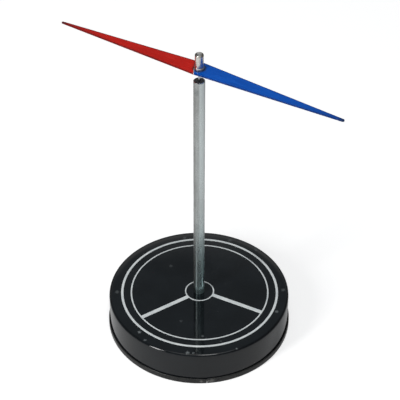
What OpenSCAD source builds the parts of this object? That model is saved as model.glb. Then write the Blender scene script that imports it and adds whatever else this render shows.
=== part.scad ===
// Magnetic needle on a stand, as used on a bench to show the direction of a magnetic field.
// A pressed steel base with an edging strip carries a plain round rod. A plug in the rod's top
// holds an upright steel point. The needle is a lozenge-shaped blade, painted red and blue,
// hung from a jewelled cap that rides on the point, so it turns freely and tips a little.
// Origin: centre of the base, on the table. +Z is up. The needle lies along X, red tip at -X.

/* [Base] */
// Diameter of the pressed steel base, without its edging
base_d = 100; // [70:1:160]
// Height from the table to the printed top
base_h = 21; // [17:0.5:40]
// Thickness of the base's steel sheet
sheet_t = 1; // [0.8:0.1:2]
// Outer radius of the pressed top edge
press_r = 1.4; // [0.8:0.1:3]

/* [Edging strip] */
// Thickness of the strip's two legs
strip_leg = 0.8; // [0.6:0.1:1.6]
// Thickness of the strip under the steel rim, which is what the stand rests on
strip_floor = 1; // [0.8:0.1:2]
// Height of the strip from the table
strip_h = 3.6; // [3:0.1:8]
// Radius of the strip's two lower corners
strip_corner = 0.7; // [0.3:0.1:0.8]
// Gap where the strip's two ends meet
strip_gap = 0.4; // [0.2:0.1:2]
// Direction of that joint, counted from +X
strip_joint_at = -54; // [-180:1:180]

/* [Print] */
// Thickness of the white ink
ink_t = 0.08; // [0.05:0.01:0.3]
// Distance from the base's edge to the outer ring's centre line
outer_ring_in = 6.9; // [3:0.1:12]
// Width of the outer ring
outer_ring_w = 1.4; // [0.5:0.1:3]
// Distance between the centre lines of the two rings
ring_pitch = 5.05; // [2:0.05:12]
// Width of the inner ring
inner_ring_w = 0.85; // [0.3:0.05:2]
// Distance from the rod to the small ring round it
hub_ring_out = 4.8; // [2:0.1:8]
// Width of the small ring
hub_ring_w = 0.75; // [0.3:0.05:2]
// Number of spokes
spokes = 3; // [2:1:8]
// Width of a spoke
spoke_w = 2.1; // [0.5:0.1:4]
// Direction of the first spoke, counted from +X
print_turn = 5; // [-180:1:180]
// How far the print sits off the centre, along X
print_off_x = 0.3; // [-1:0.1:1]
// How far the print sits off the centre, along Y
print_off_y = 0.2; // [-1:0.1:1]

/* [Rod and its fixing] */
// Diameter of the rod
rod_d = 6; // [5.8:0.1:10]
// Length of the rod above the base
rod_len = 143.8; // [80:0.2:250]
// Chamfer at the rod's top edge
rod_chamfer = 0.2; // [0.1:0.05:0.3]
// Diameter of the stud turned on the rod's foot
stud_d = 5; // [3:0.5:5]
// How far the stud stands out below its nut
stud_spare = 1.3; // [0.5:0.1:4]
// Outside diameter of the large washer under the base
clamp_d = 18; // [14:0.5:30]
// Thickness of the large washer
clamp_t = 1.5; // [1:0.1:3]
// Outside diameter of the spring washer
spring_d = 9.2; // [8.6:0.1:12]
// Thickness of the spring washer
spring_t = 1.2; // [0.8:0.1:2]
// Slit of the spring washer
spring_slit = 0.8; // [0.4:0.1:1.5]
// Distance across the nut's flats
nut_flats = 8; // [7:0.5:12]
// Height of the nut
nut_h = 4; // [2.5:0.5:6]

/* [Point] */
// Steel left round the plug at the rod's top
rod_rim = 0.5; // [0.4:0.05:1.5]
// Diameter of the upright point
pin_d = 1.2; // [0.8:0.05:1.4]
// Length of the point that sits in the plug
pin_grip = 9; // [4:0.5:20]
// Solid plug left below the point
plug_floor = 3; // [1:0.5:10]
// Length of the ground taper at the point's top
pin_taper = 3; // [1.5:0.1:4]
// Radius of the very tip
tip_r = 0.15; // [0.1:0.01:0.2]

/* [Needle] */
// Length of the blade from tip to tip, bare steel
needle_len = 162.4; // [100:0.2:240]
// How far the point's axis lies from the blade's middle, towards the blue tip
pivot_off = 1.3; // [0:0.1:1.3]
// Width of the blade across its middle, bare steel
blade_w = 10.6; // [8:0.1:16]
// Thickness of the blade, bare steel
blade_t = 0.6; // [0.3:0.05:1]
// Width of the red tip
red_tip_w = 1.2; // [0.4:0.1:2]
// How far both tips are set down below the middle
blade_set = 0.8; // [0:0.1:3]
// Thickness of the paint
paint_t = 0.08; // [0.05:0.01:0.2]
// How far the colours' joint lies from the point's axis, towards the red tip
joint_off = 2.6; // [0:0.1:6]
// Slant of that joint, where 0 runs square across the blade
joint_slant = 28; // [-45:1:45]
// Width of the bare steel line between the colours
joint_gap = 0.4; // [0.2:0.1:1]
// Height of the blade's painted top above the rod's top
blade_above_rod = 7.4; // [5:0.1:12]

/* [Cap] */
// How far the needle can tip either way, until the cap's mouth would meet the point
dip_limit = 5; // [2:0.5:8]
// Wall of the cap's barrel
cap_wall = 0.9; // [0.5:0.05:1.5]
// Height of the cap above the blade
cap_h = 8.7; // [6.5:0.1:12]
// Thickness of the cap's roof over the jewel
cap_roof = 1; // [0.8:0.05:2]
// Radius of the cap's top edge
cap_edge_r = 0.9; // [0.3:0.05:1.1]
// Radius of the cap's slightly domed top
cap_crown_r = 7; // [4:0.5:20]
// How far the flange stands out from the barrel
flange_out = 0.25; // [0.2:0.05:1.5]
// Thickness of the flange
flange_t = 0.85; // [0.3:0.05:1.5]
// Wall of the tail that passes through the blade
tail_wall = 0.42; // [0.3:0.02:0.6]
// How far the tail is rolled over under the blade
roll_out = 0.6; // [0.3:0.05:1]
// Thickness of the rolled edge
roll_t = 0.4; // [0.25:0.05:0.8]

/* [Jewel] */
// Height of the jewel's skirt below the point's tip
jewel_skirt = 0.6; // [0.3:0.05:0.7]
// Half angle of the jewel's cup
cup_angle = 40; // [30:1:45]

/* [Fits] */
// Radial clearance of pressed and pushed-on fits
press_gap = 0.02; // [0.01:0.01:0.05]
// Radial clearance of the stud in the base and its washers
stud_gap = 0.1; // [0.05:0.05:0.4]
// Clearance between the point's tip and the jewel
tip_gap = 0.05; // [0.02:0.01:0.1]
// Clearance between the jewel and the cap's domed roof
jewel_gap = 0.1; // [0.05:0.01:0.2]
// Clearance left between the cap's mouth and the point when the needle is tipped right over
dip_gap = 0.08; // [0.05:0.01:0.3]

/* [Hidden] */
$fn = 96;
eps = 0.01;

// Base
base_r = base_d / 2;
pan_in_r = base_r - sheet_t;
press_in_r = max(press_r - sheet_t, sheet_t / 10);
stud_hole_r = stud_d / 2 + stud_gap;
strip_in_r = pan_in_r - strip_leg - press_gap;
strip_out_r = base_r + strip_leg + press_gap;
lip_r = strip_leg / 2;

// Print
outer_ring_r = base_r - outer_ring_in;
inner_ring_r = outer_ring_r - ring_pitch;
hub_ring_r = rod_d / 2 + hub_ring_out;

// Rod, from the table
rod_r = rod_d / 2;
rod_top_z = base_h + rod_len;
clamp_z = base_h - sheet_t - clamp_t;
spring_z = clamp_z - spring_t;
nut_z = spring_z - nut_h;
stud_end_z = nut_z - stud_spare;
slit_slant = 25;

// Plug and point
plug_r = rod_r - rod_rim;
plug_len = pin_grip + plug_floor;
pin_r = pin_d / 2;

// Needle, from the table
blade_top_z = rod_top_z + blade_above_rod - paint_t;
blade_mid_z = blade_top_z - blade_t / 2;
cap_seat_z = blade_top_z + paint_t;
cap_top_z = cap_seat_z + cap_h;
roll_z = blade_top_z - blade_t - paint_t - roll_t;
// The bore is as wide as its mouth must be to clear the point at the tip limit. It ends in a
// half ball about the pivot, so its own radius sets how high the pivot lies above the mouth.
bore_len = cap_top_z - cap_roof - roll_z;
bore_r = (pin_r + dip_gap + bore_len * sin(dip_limit)) / (cos(dip_limit) + sin(dip_limit));
pivot_z = cap_top_z - cap_roof - bore_r;
jewel_r = bore_r - jewel_gap;
barrel_r = bore_r + cap_wall;
flange_r = barrel_r + flange_out;
tail_r = bore_r + tail_wall;
blade_hole_r = tail_r + press_gap;
roll_r = tail_r + roll_out;
red_half = needle_len / 2 + pivot_off;
blue_half = needle_len / 2 - pivot_off;
// The middle of the blade stays flat under the flange, and both halves slope down from there
flat_half = flange_r + blade_t;
slope = blade_set / red_half;
red_tip_r = red_tip_w / 2;
// The blue half is shorter, so its tip is left blunter, until both halves weigh alike on the point
blue_tip_r = max(0.2, (pow(red_half / blue_half, 2) * (blade_w / 2 + red_tip_w) - blade_w / 2) / 2);

// Base: one sheet of steel drawn into a shallow pan, open below
module pan_outline(r, h, edge) {
    square([r - edge, h]);
    square([r, h - edge]);
    translate([r - edge, h - edge])
        circle(edge);
}

module base_pan() {
    color("#17191a")
        rotate_extrude($fn = 180)
            intersection() {
                difference() {
                    pan_outline(base_r, base_h, press_r);
                    pan_outline(pan_in_r, base_h - sheet_t, press_in_r);
                }
                translate([stud_hole_r, strip_floor])
                    square([base_r, base_h]);
            }
}

// Rings and spokes printed on the base in white ink
module ring(r, w, h) {
    difference() {
        cylinder(r = r + w / 2, h = h, $fn = 180);
        translate([0, 0, -eps])
            cylinder(r = r - w / 2, h = h + 2 * eps, $fn = 180);
    }
}

module base_print() {
    color("#dfe3e3")
        translate([print_off_x, print_off_y, base_h])
            rotate(print_turn) {
                ring(outer_ring_r, outer_ring_w, ink_t);
                ring(inner_ring_r, inner_ring_w, ink_t);
                ring(hub_ring_r, hub_ring_w, ink_t);
                for (i = [0:spokes - 1])
                    rotate(i * 360 / spokes)
                        translate([hub_ring_r, -spoke_w / 2, 0])
                            cube([inner_ring_r - hub_ring_r, spoke_w, ink_t]);
            }
}

// Edging: a U-shaped strip pushed over the pan's rim, its ends meeting at the front
module strip_leg_outline(x) {
    translate([x, strip_corner])
        square([strip_leg, strip_h - strip_corner - lip_r]);
    translate([x + lip_r, strip_h - lip_r])
        circle(lip_r);
}

module strip_outline() {
    width = strip_out_r - strip_in_r;
    strip_leg_outline(strip_in_r);
    strip_leg_outline(strip_out_r - strip_leg);
    translate([strip_in_r + strip_corner, 0])
        square([width - 2 * strip_corner, strip_floor]);
    intersection() {
        translate([strip_in_r, 0])
            square([width, strip_floor]);
        union() {
            for (x = [strip_in_r + strip_corner, strip_out_r - strip_corner])
                translate([x, strip_corner])
                    circle(strip_corner);
            translate([strip_in_r, strip_corner])
                square([width, strip_floor]);
        }
    }
}

module edging_strip() {
    color("#1d1e1f")
        difference() {
            rotate_extrude($fn = 180)
                strip_outline();
            rotate(strip_joint_at)
                translate([strip_in_r - 1, -strip_gap / 2, -1])
                    cube([strip_out_r - strip_in_r + 2, strip_gap, strip_h + 2]);
        }
}

// Rod: bright plated steel, bored at the top for the plug, with a threaded stud at its foot
module rod() {
    color("#9aa0a0")
        difference() {
            union() {
                translate([0, 0, base_h])
                    cylinder(r = rod_r, h = rod_len - rod_chamfer);
                translate([0, 0, rod_top_z - rod_chamfer])
                    cylinder(r1 = rod_r, r2 = rod_r - rod_chamfer, h = rod_chamfer);
                translate([0, 0, stud_end_z])
                    cylinder(r = stud_d / 2, h = base_h - stud_end_z + eps);
            }
            translate([0, 0, rod_top_z - plug_len])
                cylinder(r = plug_r, h = plug_len + 1);
        }
}

// Washer shape shared by the fixing under the base
module washer(outside_d, hole_r, t) {
    difference() {
        cylinder(d = outside_d, h = t);
        translate([0, 0, -eps])
            cylinder(r = hole_r, h = t + 2 * eps);
    }
}

module clamp_washer() {
    color("#8f9595")
        translate([0, 0, clamp_z])
            washer(clamp_d, stud_hole_r, clamp_t);
}

module spring_washer() {
    color("#7f8686")
        translate([0, 0, spring_z])
            difference() {
                washer(spring_d, stud_hole_r, spring_t);
                rotate([slit_slant, 0, 0])
                    translate([0, -spring_slit / 2, -spring_t])
                        cube([spring_d, spring_slit, 4 * spring_t]);
            }
}

// Nut: a hexagon whose corners are turned off at both ends
module rod_nut() {
    corner_r = nut_flats / 2 / cos(30);
    bevel = corner_r - nut_flats / 2;
    color("#8f9595")
        translate([0, 0, nut_z])
            difference() {
                intersection() {
                    cylinder(r = corner_r, h = nut_h, $fn = 6);
                    union() {
                        cylinder(r1 = nut_flats / 2, r2 = corner_r, h = bevel / 2);
                        translate([0, 0, bevel / 2])
                            cylinder(r = corner_r, h = nut_h - bevel);
                        translate([0, 0, nut_h - bevel / 2])
                            cylinder(r1 = corner_r, r2 = nut_flats / 2, h = bevel / 2);
                    }
                }
                translate([0, 0, -eps])
                    cylinder(r = stud_d / 2 + press_gap, h = nut_h + 2 * eps);
            }
}

// Plug: black plastic, pressed into the rod, with a hole for the point
module rod_plug() {
    color("#202222")
        difference() {
            translate([0, 0, rod_top_z - plug_len])
                cylinder(r = plug_r - press_gap, h = plug_len);
            translate([0, 0, rod_top_z - pin_grip])
                cylinder(r = pin_r + press_gap, h = pin_grip + 1);
        }
}

// Point: a hard steel pin ground to a rounded tip, whose centre is the needle's pivot
module pivot_pin() {
    pin_len = pivot_z - rod_top_z + pin_grip;
    color("#b4b8b8")
        translate([0, 0, rod_top_z - pin_grip])
            rotate_extrude()
                intersection() {
                    union() {
                        polygon([[0, 0], [pin_r, 0], [pin_r, pin_len - pin_taper],
                                 [tip_r, pin_len], [0, pin_len]]);
                        translate([0, pin_len])
                            circle(tip_r);
                    }
                    square([pin_r, 2 * pin_len]);
                }
}

// Jewel: a domed bearing stone with a conical cup, whose bottom is round about the pivot
module jewel_cup() {
    cup_r = tip_r + tip_gap;
    cone_top = cup_r * sin(cup_angle);
    mouth_r = cup_r * cos(cup_angle) + (cone_top + jewel_skirt) * tan(cup_angle);
    color("#8c1f3a")
        translate([0, 0, pivot_z])
            difference() {
                intersection() {
                    sphere(jewel_r);
                    translate([0, 0, -jewel_skirt])
                        cylinder(r = jewel_r + 1, h = jewel_skirt + jewel_r + 1);
                }
                translate([0, 0, -jewel_skirt])
                    cylinder(r1 = mouth_r, r2 = cup_r * cos(cup_angle), h = jewel_skirt + cone_top);
                sphere(cup_r);
            }
}

// Cap: turned brass, plated, flanged, its tail passed through the blade and rolled over
module barrel_outline() {
    top = cap_h - cap_edge_r;
    intersection() {
        union() {
            square([barrel_r, top]);
            square([barrel_r - cap_edge_r, cap_h]);
            translate([barrel_r - cap_edge_r, top])
                circle(cap_edge_r);
        }
        union() {
            square([barrel_r, cap_h - cap_edge_r]);
            translate([0, cap_h - cap_crown_r])
                circle(cap_crown_r);
        }
    }
}

module cap_outline() {
    barrel_outline();
    square([flange_r, flange_t]);
    difference() {
        translate([0, flange_t])
            square([flange_r, flange_out]);
        translate([flange_r, flange_t + flange_out])
            circle(flange_out);
    }
    tail = cap_seat_z - roll_z;
    translate([0, -tail])
        square([tail_r, tail]);
    translate([0, -tail])
        square([roll_r - roll_t / 2, roll_t]);
    translate([roll_r - roll_t / 2, roll_t / 2 - tail])
        circle(roll_t / 2);
}

module needle_cap() {
    color("#b9bcba")
        difference() {
            translate([0, 0, cap_seat_z])
                rotate_extrude()
                    intersection() {
                        cap_outline();
                        translate([0, -cap_h])
                            square([2 * flange_r, 3 * cap_h]);
                    }
            translate([0, 0, roll_z - eps])
                cylinder(r = bore_r, h = pivot_z - roll_z + eps);
            translate([0, 0, pivot_z])
                sphere(bore_r);
        }
}

// Blade: a long lozenge of thin spring steel, drawn as its outline crossed with its side view
module blade_outline(grow) {
    red_x = red_half - red_tip_r;
    blue_x = blue_half - blue_tip_r;
    half_w = blade_w / 2 + grow;
    red_end = red_tip_r + grow;
    blue_end = blue_tip_r + grow;
    polygon([[-red_x, -red_end], [0, -half_w], [blue_x, -blue_end],
             [blue_x, blue_end], [0, half_w], [-red_x, red_end]]);
    translate([-red_x, 0])
        circle(red_end);
    translate([blue_x, 0])
        circle(blue_end);
}

module blade_side(grow) {
    red_x = red_half + 1;
    blue_x = blue_half + 1;
    low = -blade_t / 2 - grow;
    high = blade_t / 2 + grow;
    red_drop = slope * (red_x - flat_half);
    blue_drop = slope * (blue_x - flat_half);
    polygon([[-red_x, low - red_drop], [-flat_half, low], [flat_half, low], [blue_x, low - blue_drop],
             [blue_x, high - blue_drop], [flat_half, high], [-flat_half, high], [-red_x, high - red_drop]]);
}

module blade_body(grow) {
    depth = 2 * blade_w;
    translate([0, 0, blade_mid_z])
        difference() {
            intersection() {
                translate([0, 0, -blade_w])
                    linear_extrude(2 * blade_w)
                        blade_outline(grow);
                translate([0, depth / 2, 0])
                    rotate([90, 0, 0])
                        linear_extrude(depth)
                            blade_side(grow);
            }
            translate([0, 0, -blade_w])
                cylinder(r = blade_hole_r, h = 2 * blade_w);
        }
}

module needle_blade() {
    color("#b0b4b4")
        blade_body(0);
}

// Paint: a thin coat all round one part of the blade, from one distance to another, counted square
// to the slanting joint
module paint(from, to) {
    difference() {
        intersection() {
            blade_body(paint_t);
            rotate(joint_slant)
                translate([from, -needle_len, blade_mid_z - blade_w])
                    cube([to - from, 2 * needle_len, 2 * blade_w]);
        }
        blade_body(0);
    }
}

module red_enamel() {
    color("#a81f1a")
        paint(-needle_len, -joint_off - joint_gap / 2);
}

module blue_enamel() {
    color("#0d4aa6")
        paint(-joint_off + joint_gap / 2, needle_len);
}

base_pan();
base_print();
edging_strip();
rod();
clamp_washer();
spring_washer();
rod_nut();
rod_plug();
pivot_pin();
jewel_cup();
needle_cap();
needle_blade();
red_enamel();
blue_enamel();
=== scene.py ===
# %% [markdown]
# # A magnetic needle on its stand
# A long lozenge of steel, half red and half blue, rides on a steel point at the top of a plain rod.
# The rod stands on a pressed black base with white printed rings. This file dresses the packed CAD model:
# it loads the model, builds each visible piece as a finer mesh in the same place, gives it a procedural
# finish, and hides the plain CAD piece that it stands for.

import math

import bmesh
import bpy
from mathutils import Matrix, Vector, noise


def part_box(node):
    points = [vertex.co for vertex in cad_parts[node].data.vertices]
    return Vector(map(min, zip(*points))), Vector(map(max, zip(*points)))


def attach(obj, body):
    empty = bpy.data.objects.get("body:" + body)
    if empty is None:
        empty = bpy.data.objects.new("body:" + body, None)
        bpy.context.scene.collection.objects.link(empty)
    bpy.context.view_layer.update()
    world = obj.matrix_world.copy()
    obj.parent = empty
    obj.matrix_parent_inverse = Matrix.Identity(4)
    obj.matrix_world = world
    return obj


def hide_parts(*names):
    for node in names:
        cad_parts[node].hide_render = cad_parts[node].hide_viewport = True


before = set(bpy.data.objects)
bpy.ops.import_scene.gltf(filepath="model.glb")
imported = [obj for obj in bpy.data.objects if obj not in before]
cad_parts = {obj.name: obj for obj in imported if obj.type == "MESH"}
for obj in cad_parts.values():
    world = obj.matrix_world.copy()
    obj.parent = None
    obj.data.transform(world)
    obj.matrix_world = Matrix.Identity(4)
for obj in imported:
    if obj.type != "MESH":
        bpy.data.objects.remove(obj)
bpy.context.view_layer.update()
MM = 0.001
TURN = 2 * math.pi

# %% [markdown]
# ## Camera
# The photograph was taken from above and in front, with a long lens. The needle lies along X in this frame,
# so the camera stands to one side of the Y axis. It could be aimed with a constraint, but a matrix built
# from three directions says exactly how it is turned, with the small roll that the photograph has.

# %% Camera
CAMERA_SIDE = math.radians(31.04)     # how far round from -Y, towards +X
CAMERA_OUT = 602.34 * MM              # from the rod's axis, level
CAMERA_UP = 595.6 * MM                # above the table
CAMERA_PITCH = math.radians(40.157)
CAMERA_YAW = 0.0008                   # radians
CAMERA_ROLL = 0.0019                  # radians
LENS_MM = 133.97
SENSOR_MM = 36


def from_side(azimuth, elevation=0.0):
    """The direction that lies so many degrees to the camera's right, and so many above the table."""
    side = CAMERA_SIDE + math.radians(azimuth)
    up = math.radians(elevation)
    return Vector((math.sin(side) * math.cos(up), -math.cos(side) * math.cos(up), math.sin(up)))


heading = CAMERA_SIDE - CAMERA_YAW
forward = Vector((-math.sin(heading) * math.cos(CAMERA_PITCH),
                  math.cos(heading) * math.cos(CAMERA_PITCH), -math.sin(CAMERA_PITCH)))
level_right = Vector((math.cos(heading), math.sin(heading), 0))
level_up = level_right.cross(forward)
right = math.cos(CAMERA_ROLL) * level_right + math.sin(CAMERA_ROLL) * level_up
up = math.cos(CAMERA_ROLL) * level_up - math.sin(CAMERA_ROLL) * level_right

camera = bpy.data.objects.new("camera", bpy.data.cameras.new("camera"))
camera.data.sensor_width = SENSOR_MM
camera.data.lens = LENS_MM
camera.data.clip_start = 10 * MM
camera.data.clip_end = 100
place = from_side(0) * CAMERA_OUT
place.z = CAMERA_UP
camera.matrix_world = Matrix.Translation(place) @ Matrix((right, up, -forward)).transposed().to_4x4()
bpy.context.scene.collection.objects.link(camera)
bpy.context.scene.camera = camera
bpy.context.scene.view_settings.view_transform = "Standard"
print("camera at", [round(v / MM, 1) for v in place], "mm")

# %% [markdown]
# ## Wiring shader nodes
# Every finish here is a small network of shader nodes. Adding a node, setting it and linking it takes many
# lines when it is written out, so one helper does all three. A value may be a number, a colour or another
# node's output. The sums, ramps and blends that come up in every finish get short names of their own.

# %% A helper that adds one node and wires it
class Wiring:
    """A node tree that grows by one wired node at a time."""

    def __init__(self, tree):
        self.tree = tree

    def add(self, kind, inputs=None, **settings):
        """Adds a node with its settings, and fills or links each input."""
        node = self.tree.nodes.new(kind)
        for name, value in settings.items():
            setattr(node, name, value)
        for name, value in (inputs or {}).items():
            if isinstance(value, bpy.types.NodeSocket):
                self.tree.links.new(value, node.inputs[name])
            else:
                node.inputs[name].default_value = value
        return node

    def math(self, operation, first, second=0.0, clamp=False):
        """A sum of two values. With clamp, it is kept between 0 and 1."""
        return self.add("ShaderNodeMath", {0: first, 1: second}, operation=operation,
                        use_clamp=clamp).outputs[0]

    def plus(self, first, second, clamp=False):
        return self.math("ADD", first, second, clamp)

    def times(self, first, second, clamp=False):
        return self.math("MULTIPLY", first, second, clamp)

    def ramp(self, value, low, high, out_low=0.0, out_high=1.0):
        """Turns a value from low..high into out_low..out_high, with soft ends."""
        return self.add("ShaderNodeMapRange", {"Value": value, "From Min": low, "From Max": high,
                                               "To Min": out_low, "To Max": out_high},
                        interpolation_type="SMOOTHSTEP").outputs["Result"]

    def blend(self, share, first, second):
        """A colour between two, where share goes from 0 to 1. Sockets 6 and 7 are the colour ones."""
        return self.add("ShaderNodeMix", {0: share, 6: first, 7: second}, data_type="RGBA",
                        clamp_factor=True).outputs[2]

    def here(self):
        """The point on the surface, in metres. Every piece's origin is the frame's, so they all agree."""
        return self.add("ShaderNodeTexCoord").outputs["Object"]

    def split(self, point):
        """A point's X, Y and Z."""
        return self.add("ShaderNodeSeparateXYZ", {0: point}).outputs

    def vector(self, operation, first, second=(0, 0, 0)):
        """A sum of two vectors that gives a vector."""
        return self.add("ShaderNodeVectorMath", {0: first, 1: second}, operation=operation).outputs[0]

    def dot(self, point, direction):
        """How far a point lies in a direction. For two directions, the cosine of the angle between them."""
        return self.add("ShaderNodeVectorMath", {0: point, 1: direction},
                        operation="DOT_PRODUCT").outputs["Value"]

    def level(self, point):
        """The level direction from the Z axis to a point."""
        return self.vector("NORMALIZE", self.vector("MULTIPLY", point, (1, 1, 0)))


print("a wiring can:", ", ".join(name for name in vars(Wiring) if not name.startswith("_")))

# %% [markdown]
# ## Effects that several finishes share
# Clouds, specks, hairlines and smudges turn up on enamel, plastic, zinc and paint alike, at other sizes.
# They could be wired afresh in every material, but then a better cloud would have to be made eight times.
# So each is built once as a node group with named inputs. It puts out only a value between 0 and 1, and
# each material decides what that value does to its colour, its roughness or its bumps.

# %% A helper that makes a node group
KINDS = {"value": "NodeSocketFloat", "vector": "NodeSocketVector"}


def effect(name, inputs, outputs):
    """An empty group with named sockets: {name: (kind, default)} going in, and values coming out."""
    group = bpy.data.node_groups.new(name, "ShaderNodeTree")
    for label, (kind, default) in inputs.items():
        socket = group.interface.new_socket(label, in_out="INPUT", socket_type=KINDS[kind])
        socket.default_value = default
    for label in outputs:
        group.interface.new_socket(label, in_out="OUTPUT", socket_type="NodeSocketFloat")
    wiring = Wiring(group)
    return wiring, wiring.add("NodeGroupInput").outputs, wiring.add("NodeGroupOutput").inputs


def place_on(wiring, size, stretch, seed):
    """The point on the surface, measured in steps of size, stretched along each axis and shifted by seed."""
    scaled = wiring.vector("MULTIPLY", wiring.here(), stretch)
    steps = wiring.math("DIVIDE", 1.0, size)
    stepped = wiring.add("ShaderNodeVectorMath", {0: scaled, "Scale": steps}, operation="SCALE").outputs[0]
    return wiring.vector("ADD", stepped, seed)


print("a group's inputs can be:", ", ".join(KINDS))

# %% [markdown]
# Clouds are soft uneven patches: haze on enamel, the spangle of zinc, the ripple of paint. They could be
# painted on an image, but a noise texture never repeats and needs no unwrapping.

# %% Clouds
wiring, given, made = effect("clouds", {
    "Size": ("value", 0.005), "Stretch": ("vector", (1, 1, 1)), "Seed": ("vector", (0, 0, 0)),
    "Detail": ("value", 3.0)}, ["Value"])
point = place_on(wiring, given["Size"], given["Stretch"], given["Seed"])
cloud = wiring.add("ShaderNodeTexNoise", {"Vector": point, "Scale": 1.0, "Detail": given["Detail"],
                                          "Roughness": 0.55})
wiring.tree.links.new(wiring.ramp(cloud.outputs["Fac"], 0.28, 0.72), made["Value"])
print("effect: clouds")

# %% [markdown]
# Specks are dust and pinholes. They could be scattered as tiny meshes, but thousands of them would slow
# every render. A Voronoi texture gives each cell a point and a random colour instead. The colour says
# whether that cell has a speck at all, and how large it is.

# %% Specks
wiring, given, made = effect("specks", {
    "Size": ("value", 0.003), "Share": ("value", 0.3), "Radius": ("value", 0.15),
    "Seed": ("vector", (0, 0, 0))}, ["Mask"])
point = place_on(wiring, given["Size"], (1, 1, 1), given["Seed"])
wobble = wiring.add("ShaderNodeTexNoise", {"Vector": point, "Scale": 6.0, "Detail": 1.0}).outputs["Fac"]
cell = wiring.add("ShaderNodeTexVoronoi", {"Vector": point, "Scale": 1.0})
chance = wiring.add("ShaderNodeSeparateColor", {"Color": cell.outputs["Color"]})
radius = wiring.times(wiring.times(chance.outputs["Green"], given["Radius"]), wiring.plus(wobble, 0.5))
inside = wiring.math("SUBTRACT", 1.0, wiring.math("DIVIDE", cell.outputs["Distance"], radius), clamp=True)
there = wiring.math("LESS_THAN", chance.outputs["Red"], given["Share"])
soft = wiring.ramp(inside, 0.0, 0.5)
wiring.tree.links.new(wiring.times(soft, there), made["Mask"])
print("effect: specks")

# %% [markdown]
# Hairlines are the fine scratches of handling and cleaning. A picture of scratches would show its grain
# close up. A long thin noise crosses its middle value along narrow wavy lines, so only those lines are
# kept, in patches, and they stay sharp at any distance.

# %% Hairlines
wiring, given, made = effect("hairlines", {
    "Size": ("value", 0.002), "Stretch": ("vector", (1, 0.05, 1)), "Width": ("value", 0.02),
    "Seed": ("vector", (0, 0, 0))}, ["Mask"])
point = place_on(wiring, given["Size"], given["Stretch"], given["Seed"])
line = wiring.add("ShaderNodeTexNoise", {"Vector": point, "Scale": 1.0, "Detail": 1.0}).outputs["Fac"]
off = wiring.math("ABSOLUTE", wiring.math("SUBTRACT", line, 0.5))
thin = wiring.math("SUBTRACT", 1.0, wiring.math("DIVIDE", off, given["Width"]), clamp=True)
patch = wiring.add("ShaderNodeTexNoise", {"Vector": point, "Scale": 0.23, "Detail": 0.0}).outputs["Fac"]
wiring.tree.links.new(wiring.times(thin, wiring.ramp(patch, 0.5, 0.62)), made["Mask"])
print("effect: hairlines")

# %% [markdown]
# A smudge is one mark in one place, such as a rub or a fingertip. It could be brushed on in texture paint,
# but then it couldn't be moved by typing a number. Here it fades from its centre, and a noise breaks up its
# outline.

# %% Smudge
wiring, given, made = effect("smudge", {
    "Centre": ("vector", (0, 0, 0)), "Radius": ("value", 0.002), "Grain": ("value", 0.0008)}, ["Mask"])
away = wiring.add("ShaderNodeVectorMath", {0: wiring.here(), 1: given["Centre"]}, operation="DISTANCE")
away = wiring.math("DIVIDE", away.outputs["Value"], given["Radius"])
near = wiring.math("SUBTRACT", 1.0, away, clamp=True)
fine = place_on(wiring, given["Grain"], (1, 1, 1), given["Centre"])
grain = wiring.add("ShaderNodeTexNoise", {"Vector": fine, "Scale": 1.0, "Detail": 2.0}).outputs["Fac"]
broken = wiring.plus(wiring.times(near, 1.1), wiring.math("SUBTRACT", grain, 0.85))
wiring.tree.links.new(wiring.ramp(broken, 0.0, 0.6), made["Mask"])
print("effect: smudge")

# %% [markdown]
# ## Making a material
# Each finish on the object is a Principled shader with its effects wired in by hand. One large function could
# make them all from a table, but every finish has its own wear, and a short recipe is easier to read. So
# the helpers are small. The first starts a finish. The others place an effect and take its value, link
# outputs to the shader, and raise bumps. Lengths in a finish are in metres, so they are so many times MM.

# %% A helper that starts a material
def new_finish(name, **settings):
    """A material with one Principled shader. Settings are plain values for the shader's sockets."""
    material = bpy.data.materials.new(name)
    material.use_nodes = True
    wiring = Wiring(material.node_tree)
    shader = material.node_tree.nodes["Principled BSDF"]
    for label, value in settings.items():
        shader.inputs[label.replace("_", " ")].default_value = value
    return material, wiring, shader


def use_effect(wiring, name, **inputs):
    """Places a shared effect in a material, and returns its output."""
    node = wiring.add("ShaderNodeGroup", node_tree=bpy.data.node_groups[name])
    for label, value in inputs.items():
        node.inputs[label].default_value = value
    return node.outputs[0]


def feed(wiring, shader, **sockets):
    """Links outputs to the shader's sockets, such as Base_Color=..."""
    for label, output in sockets.items():
        wiring.tree.links.new(output, shader.inputs[label.replace("_", " ")])


def bump(wiring, shader, height, depth):
    """Raises the surface by depth metres where height is 1."""
    node = wiring.add("ShaderNodeBump", {"Height": height, "Strength": 1.0, "Distance": depth})
    wiring.tree.links.new(node.outputs["Normal"], shader.inputs["Normal"])


def add_up(wiring, values):
    """The sum of several outputs, kept between 0 and 1."""
    total = values[0]
    for value in values[1:]:
        total = wiring.plus(total, value, clamp=True)
    return total


def grey(value):
    """An even grey, or white at 1, as a colour."""
    return value, value, value, 1


print("effects that a finish can use:", ", ".join(group.name for group in bpy.data.node_groups))

# %% [markdown]
# ## Black stoving enamel
# The base is sprayed and baked, so it is nearly a mirror, and it shows the rod upside down. A black mirror
# needs little colour of its own. What makes it real is haze, fine scratches, dust, and a few rubbed places
# near the rim where hands pick it up. A clear coat over a dull black would be another way, but baked enamel
# is one layer, and so is this. Each rubbed place is one smudge from a list.

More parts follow.
